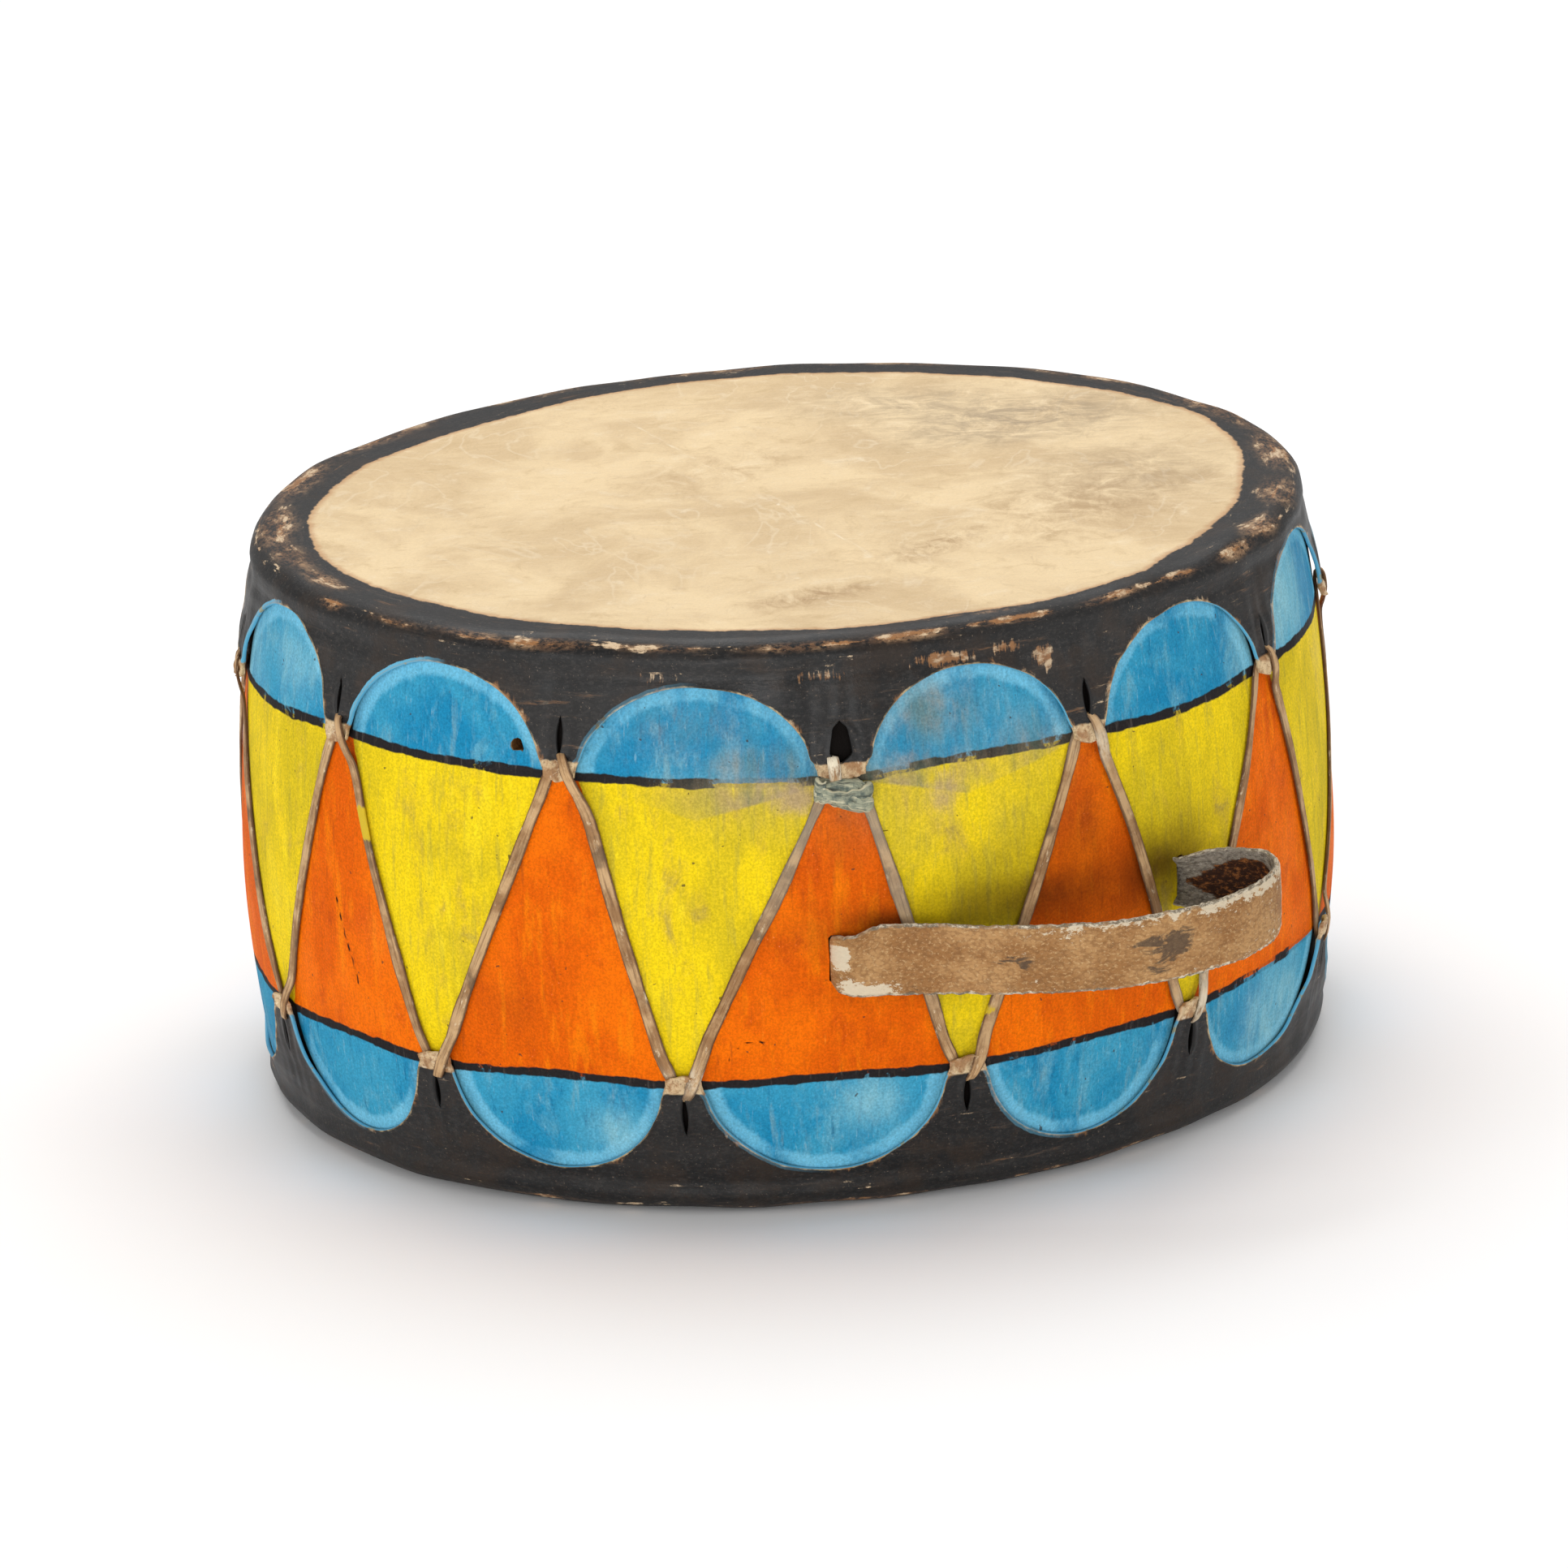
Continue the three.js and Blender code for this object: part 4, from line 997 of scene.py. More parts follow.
def skin(name, tabs, halves, line, laps, top, ring_places, wear_places, rubs, seed):
    draw = np.random.default_rng(seed)
    rim_dip = Waves(seed + 2, 3, 26, 12)
    crease = Waves(seed + 3, 30, 70, 12, climb=30)
    crumple = Waves(seed + 4, 180, 420, 14, climb=900)
    angle, edge, splits = line
    columns = len(angle)
    tab_end = TOP_TAB_END if top else BOTTOM_TAB_END

    # Depth below the face for every row and column, and the shoulder's turn.
    shares = np.linspace(0, 1, SIDE_ROWS + 1)[1:]
    shares = 1 - (1 - shares) ** 1.15
    turn = np.concatenate([SHOULDER_TURNS, np.full(SIDE_ROWS, 90.0)])[:, None]
    cosine, sine = np.cos(np.radians(turn)), np.sin(np.radians(turn))
    shoulder = turn < 90
    depth_side = RIM + (edge[None, :] - RIM) * shares[:, None]
    shoulder_rows = len(SHOULDER_TURNS)
    rows = shoulder_rows + SIDE_ROWS
    depth = np.vstack([np.repeat((RIM - RIM * np.cos(np.radians(SHOULDER_TURNS)))[:, None], columns, 1),
                       depth_side])
    angles = np.repeat(angle[None, :], rows, 0)
    index, across = tab_frame(angles, tabs)

    # Slits: each tab has its own width and ends.
    widths = draw.uniform(*SLIT_WIDTHS, len(tabs))
    tops = tab_end - draw.uniform(*SLIT_TOPS, len(tabs))
    foots = tab_end - draw.uniform(*SLIT_FEET, len(tabs))
    if top:
        width, top_rise, foot_rise = SPLICED_SLIT
        widths[SPLICED_TAB] = width
        tops[SPLICED_TAB] = tab_end - top_rise
        foots[SPLICED_TAB] = tab_end - foot_rise
    share = np.clip((depth - tops[index]) / (foots[index] - tops[index]), 0, 1)
    half_slit = widths[index] / 2 * np.sin(np.pi * share**0.85) ** 0.8
    if top:
        bullet = (0.64 + 0.36 * smoothstep(share, 0.0, 0.8)) * np.sqrt(np.clip(share / 0.14, 0, 1))
        bullet = bullet * np.sqrt(np.clip((1 - share) / 0.22, 0, 1))
        half_slit = np.where(index == SPLICED_TAB, widths[index] / 2 * bullet, half_slit)
    half_slit[(share <= 0) | (share >= 1) | shoulder] = 0
    reach = np.asarray(halves)[index] * DEGREE * 1.25
    fall = np.clip(1 - np.abs(across) / reach, 0, 1)
    pushed = np.sign(across) * half_slit * fall
    below = smoothstep(depth, foots[index] - 0.002, foots[index] + 0.003)
    pinch = 1 - PINCH * below * smoothstep(np.abs(across), reach, reach * 0.7)
    lump = bell(across, -0.0026, 0.0024) + 0.5 * bell(across, 0.0034, 0.0016)
    lump = lump * smoothstep(depth, foots[index] - 0.001, foots[index] + 0.0025)

    def surface(shift, inset):
        moved = angles + np.degrees((across * pinch + shift - across) / MEAN_RADIUS)
        radius = RIM - inset
        d = np.where(shoulder, RIM - radius * cosine, depth)
        rim_fall = cosine * RIM_DIP * (1 + rim_dip(moved)) / 2
        real = HEIGHT - d if top else d
        base = side(moved, real)
        out_side = base + GAP + HIDE - inset + TAB_LIFT * smoothstep(d, LIFT_START, LIFT_END)
        at_shoulder = SHOULDER if top else RIM
        out_shoulder = side(moved, at_shoulder) + GAP + HIDE - RIM + radius * sine
        out = np.where(shoulder, out_shoulder, out_side)
        fold = TENSION_FOLD * np.cos(2 * math.pi * across / FOLD_SPACING)
        fold = fold * np.exp(-np.abs(across) / FOLD_REACH) + FOLD_RISE
        out = out + fold * smoothstep(d, 0.010, 0.024)
        out = out + CREASED * crease(moved, d) * smoothstep(d, 0.004, 0.012)
        out = out + CREST_RIDGE * bell(d, RIDGE_DEPTH, RIDGE_WIDTH)
        out = out - CREST_GROOVE * bell(d, GROOVE_DEPTH, GROOVE_WIDTH)
        out = out + CURL * np.exp(-np.maximum(edge[None, :] - d, 0) / 0.0014)
        lips = bell(np.abs(across), half_slit, SLIT_LIP_WIDTH) * (half_slit > 0)
        out = out + SLIT_LIP * lips
        out = out + LUMP * lump + CRUMPLED * below * crumple(moved, d) * (np.abs(across) < reach * 1.1)
        height = real - rim_fall if top else real + rim_fall
        return on_oval(moved, height, out)

    # Vertices: the right-hand copy of every split column is the ordinary one.
    split_rows = {}
    ids = np.arange(rows * columns).reshape(rows, columns)
    left_ids = ids.copy()
    extra = []
    count = rows * columns
    for column in splits:
        open_rows = np.nonzero(half_slit[:, column] > 0.0002)[0]
        split_rows[column] = open_rows
        for row in open_rows:
            left_ids[row, column] = count
            extra.append((row, column))
            count += 1
    shift_right, shift_left = pushed.copy(), pushed.copy()
    for column, open_rows in split_rows.items():
        shift_right[open_rows, column] = half_slit[open_rows, column]
        shift_left[open_rows, column] = -half_slit[open_rows, column]
    rows_extra = np.array([e[0] for e in extra])
    columns_extra = np.array([e[1] for e in extra])

    def layer(inset):
        right = surface(shift_right, inset)
        left = surface(shift_left, inset)
        return np.vstack([right.reshape(-1, 3), left[rows_extra, columns_extra]])

    outer, inner = layer(0.0), layer(HIDE)
    sheet = []
    for j in range(columns):
        k = (j + 1) % columns
        for i in range(rows - 1):
            sheet.append((ids[i, j], ids[i + 1, j], left_ids[i + 1, k], left_ids[i, k]))
    sheet_array = np.array(sheet)
    flow = np.concatenate([sheet_array[:, [a, (a + 1) % 4]] for a in range(4)])
    keys = {(int(a), int(b)) for a, b in flow}
    rim_edges = [(a, b) for a, b in keys if (b, a) not in keys and not (a < columns and b < columns)]
    n = len(outer)
    mid_of = {}
    pushes = {}
    for a, b in rim_edges:
        direction = outer[b] - outer[a]
        normal = (outer[a] + outer[b]) * (1, 1, 0)
        away = np.cross(direction, normal)
        if not top:
            away = -away
        length = np.linalg.norm(away)
        for v in (a, b):
            mid_of.setdefault(v, 2 * n + len(mid_of))
            pushes[v] = pushes.get(v, 0) + away / max(length, 1e-12)
    mids = np.zeros((len(mid_of), 3))
    for v, m in mid_of.items():
        push = pushes[v] / max(np.linalg.norm(pushes[v]), 1e-9)
        mids[m - 2 * n] = (outer[v] + inner[v]) / 2 + push * EDGE_ROUND
    faces = [tuple(int(v) for v in f) for f in sheet]
    faces += [tuple(int(v) + n for v in f[::-1]) for f in sheet]
    for a, b in rim_edges:
        faces.append((b, a, mid_of[a], mid_of[b]))
        faces.append((mid_of[b], mid_of[a], a + n, b + n))
    points = [outer, inner, mids]
    total = 2 * n + len(mids)

    # The membrane: rings inside the shoulder's first row, on the outer face and the inner one.
    uneven = Waves(seed + 6, 1, 6, 8)
    disc_info = []
    for base, rings, z, offset in ((outer, MEMBRANE_RINGS, HEIGHT, 0),
                                   (inner, MEMBRANE_RINGS[::4], HEIGHT - HIDE, n)):
        previous = ids[0] + offset
        level = z if top else HEIGHT - z
        for f in rings:
            ring = base[ids[0]] * (f, f, 1)
            bump = MEMBRANE_WAVE * uneven(angle) * f * (1 - f) * 4
            sag = bump + MEMBRANE_SAG
            ring[:, 2] = level + (ring[:, 2] - level) * f**8 + (-sag if top else sag)
            current = total + np.arange(columns)
            for j in range(columns):
                k = (j + 1) % columns
                quad = (int(current[j]), int(previous[j]), int(previous[k]), int(current[k]))
                faces.append(quad if offset == 0 else quad[::-1])
            points.append(ring)
            disc_info.append((f, offset))
            total += columns
            previous = current
        pole = total
        points.append(np.array([[0, 0, level + (-MEMBRANE_SAG if top else MEMBRANE_SAG)]]))
        disc_info.append((None, offset))
        total += 1
        for j in range(columns):
            k = (j + 1) % columns
            tri = (pole, int(previous[j]), int(previous[k]))
            faces.append(tri if offset == 0 else tri[::-1])
    points = np.vstack(points)
    obj = make(name, points, faces, RAWHIDE, crease=60)

    # What the paint and the wear depend on.
    reached = edge_distance(angles, depth, line, EDGE_REACH)[0]
    slit_gap = np.hypot(np.maximum(np.abs(across + pushed) - half_slit, 0),
                        np.maximum(np.maximum(tops[index] - depth, depth - foots[index]), 0))
    bar = below * (np.abs(across) < reach)
    crest = np.where(shoulder, RIM * np.radians(turn - 45), RIM * math.pi / 4 + depth - RIM)

    def per_vertex(grid, split_value=None):
        left = grid[rows_extra, columns_extra]
        if split_value is not None:
            left = np.full(len(extra), split_value)
        return np.concatenate([grid.ravel(), left])

    mid_source = np.array(list(mid_of))
    sheet_values = {"cut": per_vertex(reached), "slit": per_vertex(slit_gap, 0.0), "bar": per_vertex(bar),
                    "crest": per_vertex(crest), "wall": np.zeros(n)}
    # The cut wall is 0.5 at its outer edge, and 1 in its middle and at its inner edge.
    sheet_values["wall"][mid_source] = 0.5
    full = {}
    for key, values in sheet_values.items():
        mid_values = values[mid_source]
        inner_values = values
        if key == "wall":
            mid_values, inner_values = mid_values * 2, values * 2
        pieces = [values, inner_values, mid_values]
        for f, offset in disc_info:
            size = columns if f is not None else 1
            radius = oval_radius(angle, side(angle, SHOULDER) + GAP + HIDE - RIM)
            inside = -RIM * math.pi / 4 - (radius * (1 - f) if f is not None else np.array([MEAN_RADIUS]))
            far = np.full(size, 1.0)
            pieces.append({"cut": far, "slit": far, "bar": far * 0, "wall": far * 0, "crest": inside}[key])
        full[key] = np.concatenate(pieces)
    theta = angle_of(points)
    rim_radius = oval_radius(theta, -BELLY * (1 - 2 * RIM / HEIGHT) ** 2 + GAP + HIDE)
    inward = rim_radius - np.hypot(points[:, 0], points[:, 1])
    down = HEIGHT - points[:, 2] if top else points[:, 2]
    ring = around(theta, ring_places) - inward + np.maximum(down, 0) * 2
    is_inner = np.zeros(len(points), bool)
    is_inner[n:2 * n] = True
    start = 2 * n + len(mids)
    for f, offset in disc_info:
        size = columns if f is not None else 1
        is_inner[start:start + size] = offset > 0
        start += size
    ring[is_inner] = -0.05
    grain = np.stack([np.sin(np.radians(theta)) * MEAN_RADIUS, -np.cos(np.radians(theta)) * MEAN_RADIUS,
                      full["crest"]], 1)
    lean = wrapped(theta[:, None] - angle[splits])
    beside = np.abs(lean).argmin(1)
    lean = lean[np.arange(len(lean)), beside]
    lap = smoothstep(lean, 0.0, 1.5) * smoothstep(lean, 16, 9) * np.asarray(laps)[beside]
    fold = np.full(len(points), 1.0)
    for (ax, ay), (bx, by) in FOLDS if top else []:
        run = math.hypot(bx - ax, by - ay)
        x, y = points[:, 0] - ax, points[:, 1] - ay
        t = np.clip((x * (bx - ax) + y * (by - ay)) / run**2, 0, 1)
        gap = np.hypot(x - t * (bx - ax), y - t * (by - ay))
        fold = np.minimum(fold, gap + 0.0006 * (2 * np.abs(t - 0.5)) ** 4)
    fold[is_inner] = 1.0
    store(obj, lap=lap, fold=fold, brush=marks(theta, full["crest"], BRUSHED) if top else 0 * theta)
    store(obj, ring=ring, crest=full["crest"], cut=full["cut"], slit=full["slit"], bar=full["bar"],
          wall=full["wall"], wear=around(theta, wear_places), rub=marks(theta, full["crest"], rubs),
          grain=grain)
    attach(obj, "drum")
    return obj


# ---------------------------------------------------------------- thong
THONG_THICKNESS = 0.0011
THONG_OFF = 0.00075
THONG_OVER = 0.0035
THONG_WIDTH = 0.0044
THONG_SQUEEZED = 0.0030
# The thong's turn round a tab: across, past the tab's end, off the log, and its width.
TURN = [
    (-0.0072, -0.0080, THONG_OFF, THONG_WIDTH), (-0.0053, -0.0030, THONG_OFF, THONG_WIDTH),
    (-0.0036, 0.0010, THONG_OFF, 0.0036), (-0.0012, 0.0042, THONG_OFF, THONG_SQUEEZED),
    (-0.0002, 0.0060, 0.0010, THONG_SQUEEZED), (0.0001, 0.0070, 0.0017, THONG_SQUEEZED),
    (0.0004, 0.0072, 0.0024, THONG_SQUEEZED), (0.0008, 0.0067, 0.0031, THONG_SQUEEZED),
    (0.0016, 0.0054, 0.0036, 0.0034), (0.0026, 0.0030, 0.0037, 0.0040),
    (0.0038, 0.0, THONG_OVER, THONG_WIDTH), (0.0053, -0.0040, 0.0024, THONG_WIDTH),
    (0.0068, -0.0080, 0.0011, THONG_WIDTH), (0.0091, -0.0140, THONG_OFF, THONG_WIDTH),
]
# The last turn, over the spliced tab, hangs left of its slit and goes straight down into the binding.
SPLICED_TURN = TURN[:2] + [(-0.0050, 0.0006, THONG_OFF, 0.0034), (-0.0040, 0.0032, THONG_OFF, THONG_SQUEEZED),
                           (-0.0034, 0.0050, 0.0012, 0.0032), (-0.0031, 0.0057, 0.0022, 0.0036),
                           (-0.0029, 0.0052, 0.0033, 0.0040), (-0.0028, 0.0038, 0.0039, 0.0042),
                           (-0.0026, 0.0016, 0.0042, 0.0040), (-0.0024, -0.0010, 0.0044, 0.0038)]
THONG_STOP = (-0.0022, -0.0046, 0.0042, 0.0036)
LEG_STEPS = 9
THONG_SWAY = 0.00028  # how far a leg wanders from straight
THONG_LIFTED = 0.00012
SPLICE_NARROWING = 0.30  # how much narrower the legs are just below the binding


def turn_station(angle, top, station):
    across, past, off, width = station
    height = HEIGHT - TOP_TAB_END + past if top else BOTTOM_TAB_END - past
    turned = angle + math.degrees(across / oval_radius(angle, 0))
    return (turned, height, off, width)


def lacing_stations():
    lap = len(TOP_TABS)

    def tab(tabs, count):
        return tabs[count % lap] + 360 * (count // lap)

    stations = [turn_station(tab(TOP_TABS, SPLICED_TAB), True, s) for s in TURN[-2:]]
    for count in range(SPLICED_TAB, SPLICED_TAB + lap):
        for tabs, number, top in ((BOTTOM_TABS, count, False), (TOP_TABS, count + 1, True)):
            last_turn = top and number == SPLICED_TAB + lap
            turned = [turn_station(tab(tabs, number), top, s) for s in (SPLICED_TURN if last_turn else TURN)]
            last, first = np.array(stations[-1]), np.array(turned[0])
            for i in range(1, LEG_STEPS):
                stations.append(tuple(last + (first - last) * i / LEG_STEPS))
            stations += turned
    stations.append(turn_station(tab(TOP_TABS, SPLICED_TAB + lap), True, THONG_STOP))
    return np.array(stations)


THONG_SECTION = [(swollen(math.cos(t), 0.7), swollen(math.sin(t), 0.8))
                 for t in np.linspace(0, 2 * math.pi, 14, endpoint=False)]


def lacing():
    stations = lacing_stations()
    angle, height, off, width = stations.T
    centre = on_oval(angle, height, side(angle, height) + off)
    way, length = through(np.column_stack([centre, angle, width, off]), 0.0015)
    lay = np.stack([np.cos(np.radians(way[:, 3])), np.sin(np.radians(way[:, 3])), np.zeros(len(way))], 1)
    _, wide, out = frames(way, lay)
    on_leg = smoothstep(way[:, 4], 0.0032, THONG_WIDTH)
    sway = drift(31, length, 0.028, THONG_SWAY) * on_leg
    theta = wrapped(way[:, 3])
    by_splice = marks(theta, way[:, 2], [(1.5, 0.136, 0.0055, 0.014, 1.0), (9.9, 0.136, 0.0055, 0.014, 1.0)])
    half = way[:, 4] / 2 * (1 + drift(32, length, 0.011, 0.06)) * (1 - SPLICE_NARROWING * by_splice)
    thick = THONG_THICKNESS / 2 * (1 + drift(33, length, 0.009, 0.07))
    tilt = drift(34, length, 0.020, 0.10) * on_leg
    rings = []
    nick = np.random.default_rng(35)
    for i in range(len(way)):
        w = wide[i] * math.cos(tilt[i]) + out[i] * math.sin(tilt[i])
        o = out[i] * math.cos(tilt[i]) - wide[i] * math.sin(tilt[i])
        rough = 1 + nick.normal(0, 0.018, len(THONG_SECTION))
        middle = way[i, :3] + wide[i] * sway[i] + out[i] * THONG_LIFTED
        rings.append([middle + w * half[i] * a * r + o * thick[i] * b
                      for (a, b), r in zip(THONG_SECTION, rough)])
    points = np.array(rings).reshape(-1, 3)
    n = len(THONG_SECTION)
    obj = make("lacing_rawhide", points, loft((len(way), n)), thong_hide(), crease=70)
    across = np.tile([a for a, b in THONG_SECTION], len(way))
    up = np.tile([b for a, b in THONG_SECTION], len(way))
    s = np.repeat(length, n)
    theta = wrapped(np.repeat(way[:, 3], n))
    grey = marks(theta, points[:, 2], [(9.5, 0.135, 0.008, 0.018, 0.72), (1.5, 0.136, 0.008, 0.018, 0.72),
                                       (14, 0.110, 0.012, 0.03, 0.8), (-2, 0.12, 0.010, 0.02, 0.5),
                                       (50, 0.05, 0.012, 0.008, 0.3)])
    pale = marks(theta, points[:, 2], [(5.2, 0.1545, 0.010, 0.0062, 1.0), (50, 0.047, 0.008, 0.010, 0.8),
                                       (36, 0.146, 0.008, 0.008, 0.5), (-11, 0.049, 0.008, 0.004, 0.7)])
    daub = marks(theta, points[:, 2], [(-48.6, 0.124, 0.0035, 0.011, 1.0), (21.5, 0.066, 0.003, 0.006, 0.8)])
    store(obj, across=across, grain=np.stack([s, across * 0.002, up * 0.001], 1), grey=grey, pale=pale,
          daub=daub)
    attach(obj, "drum")
    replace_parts(obj, "lacing_thong")
    return obj


# ---------------------------------------------------------------- binding over the thong's ends
BINDING_DROP = 0.006  # from the tab's end down to the binding's middle
BINDING_OFF = 0.0041
BINDING_TURNS = 2.6
BINDING_RISE = 0.0064
BINDING_SLANT = -0.0017
STRAND_HALF_WIDTH, STRAND_HALF_THICKNESS = 0.0021, 0.00115
STRAND_PLY = 0.0045  # how long one twist of the strand is
WRAP_HALF_ACROSS, WRAP_HALF_DEEP = 0.0086, 0.0030
SQUARED = 0.75  # how square the wraps and the bundle are, from above
BUNDLE_HALF_ACROSS, BUNDLE_HALF_DEEP, BUNDLE_HALF_TALL = 0.0084, 0.0030, 0.0050
WIDER_RIGHT = 0.38  # how much taller the binding is to the right than in its middle


def binding():
    angle = TOP_TABS[SPLICED_TAB]
    level = HEIGHT - TOP_TAB_END - BINDING_DROP
    middle = on_oval(angle, level, side(angle, level) + BINDING_OFF)
    out, across, up = outward(angle), sideways(angle), np.array([0, 0, 1.0])
    t = np.linspace(0, 1, 420)
    swing = t * BINDING_TURNS * 2 * math.pi + 2.2
    wander = drift(41, t, 0.05, 1.0)
    spread = 1 + WIDER_RIGHT * np.cos(swing)
    lift = (0.5 - t) * BINDING_RISE * spread + 0.0007 * wander + BINDING_SLANT * np.cos(swing)
    half_across = WRAP_HALF_ACROSS + 0.0004 * drift(42, t, 0.07, 1.0)
    half_deep = WRAP_HALF_DEEP + 0.0003 * drift(43, t, 0.04, 1.0)
    way = middle + np.outer(swollen(np.cos(swing), SQUARED) * half_across, across)
    way = way + np.outer(swollen(np.sin(swing), SQUARED) * half_deep, out) + np.outer(lift, up)
    way, length = through(way[::3], 0.0006)
    _, wide, thick = frames(way, np.tile(up, (len(way), 1)))
    section = THONG_SECTION
    half = STRAND_HALF_WIDTH * (1 + drift(44, length, 0.005, 0.20))
    deep = STRAND_HALF_THICKNESS * (1 + drift(45, length, 0.004, 0.18))
    twist = length / STRAND_PLY * math.pi
    ply = 1 + 0.16 * np.cos(2 * twist)
    rings = [[way[i] + wide[i] * half[i] * a * ply[i] + thick[i] * deep[i] * b / ply[i] for a, b in section]
             for i in range(len(way))]
    points = np.array(rings).reshape(-1, 3)
    n = len(section)
    faces = loft((len(way), n))
    # The bundle inside the strands, rounded over at its top and foot.
    ring_count, ring_points = 18, 36
    lump = []
    for i in range(ring_count):
        share = 1 - 2 * i / (ring_count - 1)
        swell = max((1 - abs(share) ** 3) ** 0.5, 0.12)
        for k in range(ring_points):
            a = 2 * math.pi * k / ring_points
            x = swollen(math.cos(a), SQUARED) * BUNDLE_HALF_ACROSS * swell
            y = swollen(math.sin(a), SQUARED) * BUNDLE_HALF_DEEP * swell
            knobs = 0.0004 * math.sin(5 * a + 3 * share) * swell
            lean = math.cos(a) * swell
            lift = share * BUNDLE_HALF_TALL * (1 + WIDER_RIGHT * lean) + BINDING_SLANT * lean + knobs
            lump.append(middle + across * x + out * y + up * lift)
    faces += loft((ring_count, ring_points), start=len(points))
    grain = np.stack([np.repeat(length, n), np.tile([a * 0.0012 for a, b in section], len(way)),
                      np.tile([b * 0.0006 for a, b in section], len(way))], 1)
    lump = np.array(lump)
    core_grain = np.stack([lump[:, 0], lump[:, 2], lump[:, 1]], 1)
    obj = make("splice_wrap", np.vstack([points, lump]), faces, sinew(), crease=70)
    across_strand = np.concatenate([np.tile([a for a, b in section], len(way)), np.zeros(len(lump))])
    store(obj, grain=np.vstack([grain, core_grain]), across=across_strand)
    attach(obj, "drum")
    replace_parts(obj, "splice_binding")
    return obj


# ---------------------------------------------------------------- strap and toggles
STRAP_THICKNESS = 0.0026
TOGGLE_RADIUS = 0.0045
TOGGLE_LENGTH = 0.046
COIL_END = 285
RING = TOGGLE_RADIUS + GAP + STRAP_THICKNESS / 2
# The strap's middle line outside the log, seen from above, with its height.
STRAP_ROUTE = [
    (0.0126, -0.1722, 0.0880), (0.0148, -0.1745, 0.0880), (0.0190, -0.1753, 0.0880),
    (0.0250, -0.1754, 0.0880), (0.0330, -0.1755, 0.0882), (0.0430, -0.1760, 0.0884),
    (0.0540, -0.1776, 0.0887), (0.0660, -0.1798, 0.0890), (0.0780, -0.1812, 0.0892),
    (0.0910, -0.1813, 0.0894), (0.1040, -0.1799, 0.0897), (0.1160, -0.1768, 0.0900),
    (0.1270, -0.1720, 0.0903), (0.1380, -0.1650, 0.0907), (0.1480, -0.1555, 0.0910),
    (0.1546, -0.1445, 0.0914), (0.1566, -0.1345, 0.0917), (0.1546, -0.1268, 0.0920),
    (0.1490, -0.1224, 0.0922), (0.1412, -0.1209, 0.0923), (0.1350, -0.1202, 0.0924),
    (0.1314, -0.1194, 0.0924),
]
# Along the strap from its left slit: how far its top and bottom edges are from the middle line.
TOP_EDGE = [
    (-0.1, 0.0084), (-0.020, 0.0084), (-0.013, 0.0066), (0.0, 0.0066), (0.0022, 0.0078), (0.005, 0.0085),
    (0.0115, 0.0092), (0.0145, 0.0110), (0.018, 0.0121), (0.026, 0.0122), (0.036, 0.0117), (0.050, 0.0111),
    (0.14, 0.0112), (0.165, 0.0114), (0.180, 0.0132), (0.192, 0.0140), (0.201, 0.0134), (0.206, 0.0108),
    (0.2085, 0.0095), (0.4, 0.0088),
]
BOTTOM_EDGE = [
    (-0.1, 0.0090), (-0.020, 0.0090), (-0.013, 0.0066), (0.0, 0.0066), (0.002, 0.0082), (0.0045, 0.0100),
    (0.008, 0.0104), (0.0125, 0.0109), (0.025, 0.0104), (0.045, 0.0107), (0.08, 0.0110), (0.14, 0.0110),
    (0.165, 0.0104), (0.19, 0.0104), (0.21, 0.0090), (0.4, 0.0088),
]
FOLD_POINT = 16  # which of the route's points the strap folds back at
HINGE = (0.09163, -0.14825, 0.09038)
HINGE_OUT = (0.494, -0.869, 0.0)
ACROSS_POINTS = 15
STRAP_CUP = 0.0052  # how deeply the strap is cupped past its fold
STRAP_WAIST = 0.20  # how much narrower it is there
EDGE_JAG = 0.00016  # how raggedly its edges were cut
EDGE_BULGE = 0.00045
# Dark marks on the strap: distance along and half-length, distance across and half-width, strength.
STRAP_STAINS = [
    (0.098, 0.014, 0.25, 0.30, 0.42), (0.062, 0.008, 0.05, 0.40, 0.55), (0.030, 0.006, -0.85, 0.2, 0.62),
]


def toggle_axis(slit, turn_side):
    angle, height = slit
    wall = on_oval(angle, height, -BELLY * (2 * height / HEIGHT - 1) ** 2 - WALL)
    return (wall - outward(angle) * (RING + STRAP_THICKNESS / 2 + 2 * GAP)
            + sideways(angle) * turn_side * RING)


def strap_tail(slit, turn_side):
    """The strap inside the log: from its tip round its toggle to the slit's mouth."""
    angle, height = slit
    axis = toggle_axis(slit, turn_side)
    tail = []
    for turn in np.radians(np.linspace(COIL_END, 0, 14)):
        tail.append(axis - sideways(angle) * turn_side * RING * math.cos(turn)
                    - outward(angle) * RING * math.sin(turn))
    tail.append(on_oval(angle, height, side(angle, height) - 0.006))
    tail.append(on_oval(angle, height, side(angle, height) - 0.001))
    return tail


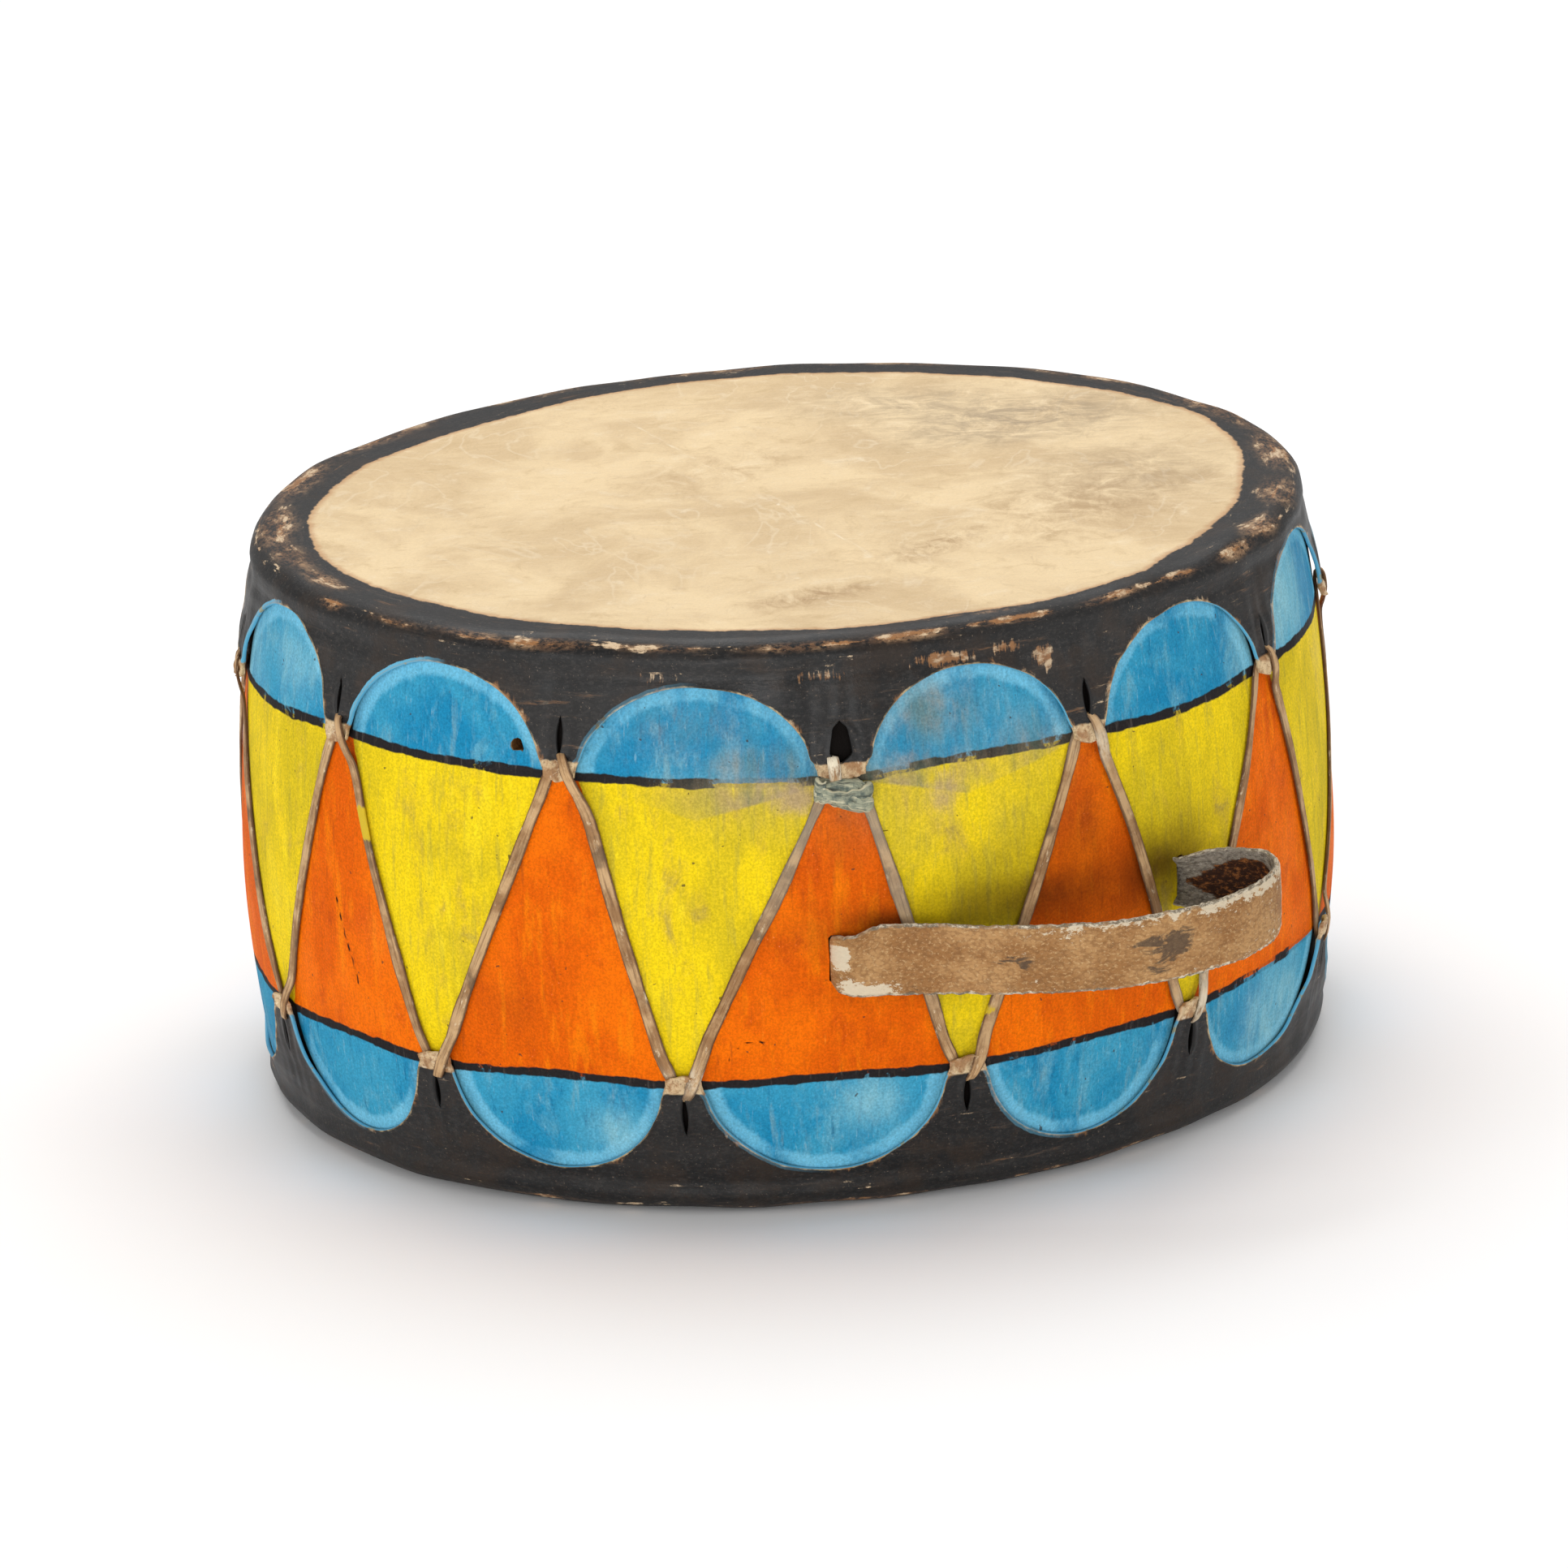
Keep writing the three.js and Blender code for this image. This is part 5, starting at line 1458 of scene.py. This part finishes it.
def strap():
    left, right = strap_tail(LEFT_SLIT, -1), strap_tail(RIGHT_SLIT, 1)
    points = np.array(left + [np.array(p) for p in STRAP_ROUTE] + right[::-1])
    way, length = through(points, 0.0012)
    start, exit_right, fold = [length[np.linalg.norm(way[:, :3] - np.array(place), axis=1).argmin()]
                               for place in (left[-1], right[-1], STRAP_ROUTE[FOLD_POINT])]
    s, exit_right, fold = length - start, exit_right - start, fold - start
    _, wide, out = frames(way, np.tile([0.0, 0.0, 1.0], (len(way), 1)))
    high = np.interp(s, *zip(*TOP_EDGE))
    low = np.interp(s, *zip(*BOTTOM_EDGE))
    cup = STRAP_CUP * smoothstep(s, fold - 0.004, fold + 0.016)
    cup = cup * smoothstep(s, exit_right + 0.016, exit_right - 0.002)
    waist = 1 - STRAP_WAIST * smoothstep(s, fold + 0.004, exit_right)
    thin = STRAP_THICKNESS / 2 * (1 - 0.12 * smoothstep(s, 0.0, 0.02))
    v = np.sin(np.linspace(-1, 1, ACROSS_POINTS) * math.pi / 2 * 0.92) / math.sin(math.pi / 2 * 0.92)
    fuzz = np.random.default_rng(51)
    waves = drift(52, length, 0.018, 0.0003), drift(53, length, 0.013, 0.0003)
    section = [(a, 1.0) for a in v] + [(1.0, 0.35), (1.0, -0.35)]
    section += [(a, -1.0) for a in v[::-1]] + [(-1.0, -0.35), (-1.0, 0.35)]
    n = len(section)
    rings, front, rim, across_value = [], [], [], []
    for i in range(len(way)):
        jag_top, jag_low = fuzz.normal(0, EDGE_JAG), fuzz.normal(0, EDGE_JAG)
        for a, b in section:
            above = (high[i] + waves[0][i] + jag_top) * max(a, 0)
            below = (low[i] + waves[1][i] + jag_low) * min(a, 0)
            reach = (above + below) * waist[i]
            round_off = 1 - 0.45 * max(abs(a) - 0.9, 0) / 0.1 if abs(b) == 1 else 1
            if abs(b) < 1:
                reach += math.copysign(EDGE_BULGE, a)
            depth = b * thin[i] * round_off
            bend = -cup[i] * (a * a - 0.35) + fuzz.normal(0, 0.00003)
            rings.append(way[i, :3] + wide[i] * reach + out[i] * (depth + bend))
            front.append(0.5 + 0.5 * b)
            rim.append((1 - abs(a)) * 0.011 if abs(b) == 1 else 0.0)
            across_value.append(a)
    points = np.array(rings)
    obj = make("strap_leather", points, loft((len(way), n)), strap_leather(), crease=70)
    station = np.repeat(s, n)
    across_value, front = np.array(across_value), np.array(front)
    worn = 0.80 * bell(station, 0.0056, 0.0036, 4) * bell(across_value, 0.25, 0.60, 4)
    worn += 0.85 * bell(station, 0.0145, 0.0098, 4) * smoothstep(across_value, -0.42, -0.74)
    worn += 0.45 * bell(station, fold - 0.001, 0.0025)
    worn += 0.30 * smoothstep(across_value, -0.80, -1.0) * smoothstep(station, 0.02, 0.05)
    worn += 0.42 * smoothstep(across_value, 0.35, 0.95) * smoothstep(station, 0.035, 0.09)
    worn += 0.16 * smoothstep(station, fold - 0.06, fold - 0.03)
    stain = 0.95 * bell(station - 0.009 * across_value, 0.114, 0.0066) * bell(across_value, -0.1, 0.75, 4)
    for place, half_length, level, half_width, strength in STRAP_STAINS:
        stain += strength * bell(station, place, half_length) * bell(across_value, level, half_width)
    # Painted shade: where the flesh side shows inside the loop, between the fold and the right slit.
    span = np.clip((station - fold - 0.001) / (exit_right - fold - 0.003), 0, 1)
    lens = np.maximum(0.80 * np.sin(math.pi * span**0.75), 0.12 * smoothstep(span, 0.4, 0.6))
    hollow = smoothstep(np.abs(across_value + 0.08), lens + 0.14, lens - 0.16) * (span > 0) * (span < 1)
    grain = np.stack([station, across_value * 0.011, (front - 0.5) * 0.002], 1)
    store(obj, front=front, rim=rim, worn=worn, stain=stain, hollow=hollow, grain=grain)
    hinge, way_out = Vector(HINGE), Vector(HINGE_OUT)
    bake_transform(obj, "drum", "carrying_strap", start=hinge - way_out * 0.003, end=hinge + way_out * 0.015)
    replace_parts(obj, "strap_end_left", "strap_loop", "strap_end_right")
    return obj


def toggle(name, node, slit, turn_side, seed):
    """A whittled peg, with flat facets and cut ends."""
    draw = np.random.default_rng(seed)
    axis = toggle_axis(slit, turn_side)
    ring_points, rings = 24, 30
    facets = draw.uniform(0.90, 1.0, 8)
    points = []
    for i in range(rings):
        share = i / (rings - 1)
        end = min(share, 1 - share) * TOGGLE_LENGTH
        taper = 0.62 + 0.38 * float(smoothstep(end, 0, 0.003))
        for k in range(ring_points):
            a = 2 * math.pi * k / ring_points + 0.25 * math.sin(share * 5)
            flat = facets[int(a / (2 * math.pi) * 8) % 8] * (1 + 0.02 * math.sin(share * 9 + a))
            r = TOGGLE_RADIUS * taper * flat
            points.append(axis + np.array([r * math.cos(a), r * math.sin(a), (share - 0.5) * TOGGLE_LENGTH]))
    obj = make(name, points, loft((rings, ring_points)), WHITTLED, crease=30)
    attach(obj, "drum")
    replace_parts(obj, node)
    return obj


# ---------------------------------------------------------------- the whole drum
RAWHIDE = rawhide()
WHITTLED = whittled_wood()
log()
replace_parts(skin("skin_top", TOP_TABS, TOP_HALVES, TOP_CUT, TOP_LAPS, True, TOP_RING, TOP_WEAR, TOP_RUBS, 60),
            "top_skin")
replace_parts(skin("skin_bottom", BOTTOM_TABS, BOTTOM_HALVES, BOTTOM_CUT, BOTTOM_LAPS, False, BOTTOM_RING,
                 BOTTOM_WEAR, BOTTOM_RUBS, 80), "bottom_skin")
lacing()
binding()
strap()
toggle("toggle_peg_left", "toggle_left", LEFT_SLIT, -1, 91)
toggle("toggle_peg_right", "toggle_right", RIGHT_SLIT, 1, 92)


# ---------------------------------------------------------------- floor, lights and camera
FLOOR_HALF = 9.0
FLOOR_LEVEL = -0.0004
CAMERA_PLACE = Vector((0, -2.9737, 1.0729))
CAMERA_TARGET = Vector((-0.00165, 0, 0.0914))
CAMERA_ROLL = math.radians(-2.144)
CAMERA_LENS = 213.2
WORLD_LIGHT = 0.42


def floor():
    corners = [(x * FLOOR_HALF, y * FLOOR_HALF, FLOOR_LEVEL) for x, y in ((-1, -1), (1, -1), (1, 1), (-1, 1))]
    mesh = bpy.data.meshes.new("floor")
    mesh.from_pydata(corners, [], [(0, 1, 2, 3)])
    f = Finish("pale_floor")
    mesh.materials.append(f.finish(rgb(250, 250, 250), 0.9, Specular_IOR_Level=0.1))
    obj = put("floor", mesh)


def softbox(name, place, target, size, power):
    light = bpy.data.lights.new(name, "AREA")
    light.shape = "RECTANGLE"
    light.size, light.size_y = size
    light.energy = power
    obj = put(name, light)
    obj.location = place
    obj.rotation_euler = (Vector(target) - Vector(place)).to_track_quat("-Z", "Y").to_euler()


def camera():
    data = bpy.data.cameras.new("camera")
    data.lens = CAMERA_LENS
    data.sensor_width = 36
    data.clip_end = 60
    obj = put("camera", data)
    ahead = (CAMERA_TARGET - CAMERA_PLACE).normalized()
    right = ahead.cross(Vector((0, 0, 1))).normalized()
    up = right.cross(ahead)
    across = right * math.cos(CAMERA_ROLL) + up * math.sin(CAMERA_ROLL)
    above = up * math.cos(CAMERA_ROLL) - right * math.sin(CAMERA_ROLL)
    obj.matrix_world = Matrix([(*row, 0) for row in (across, above, -ahead)]
                              + [(*CAMERA_PLACE, 1)]).transposed()
    bpy.context.scene.camera = obj


floor()
softbox("front", (-0.6, -3.1, 0.40), (0, 0, 0.09), (2.6, 1.0), 50)
softbox("above", (0.0, 1.0, 2.5), (0, 0, 0.1), (3.0, 2.2), 62)
softbox("right", (2.6, -1.2, 0.7), (0, 0, 0.1), (1.2, 1.2), 13)
softbox("left", (-2.6, -1.0, 0.7), (0, 0, 0.1), (1.2, 1.2), 13)
world = bpy.data.worlds.new("studio")
world.use_nodes = True
world.node_tree.nodes["Background"].inputs["Color"].default_value = (1, 1, 1, 1)
world.node_tree.nodes["Background"].inputs["Strength"].default_value = WORLD_LIGHT
bpy.context.scene.world = world
bpy.context.scene.view_settings.view_transform = "Standard"
camera()
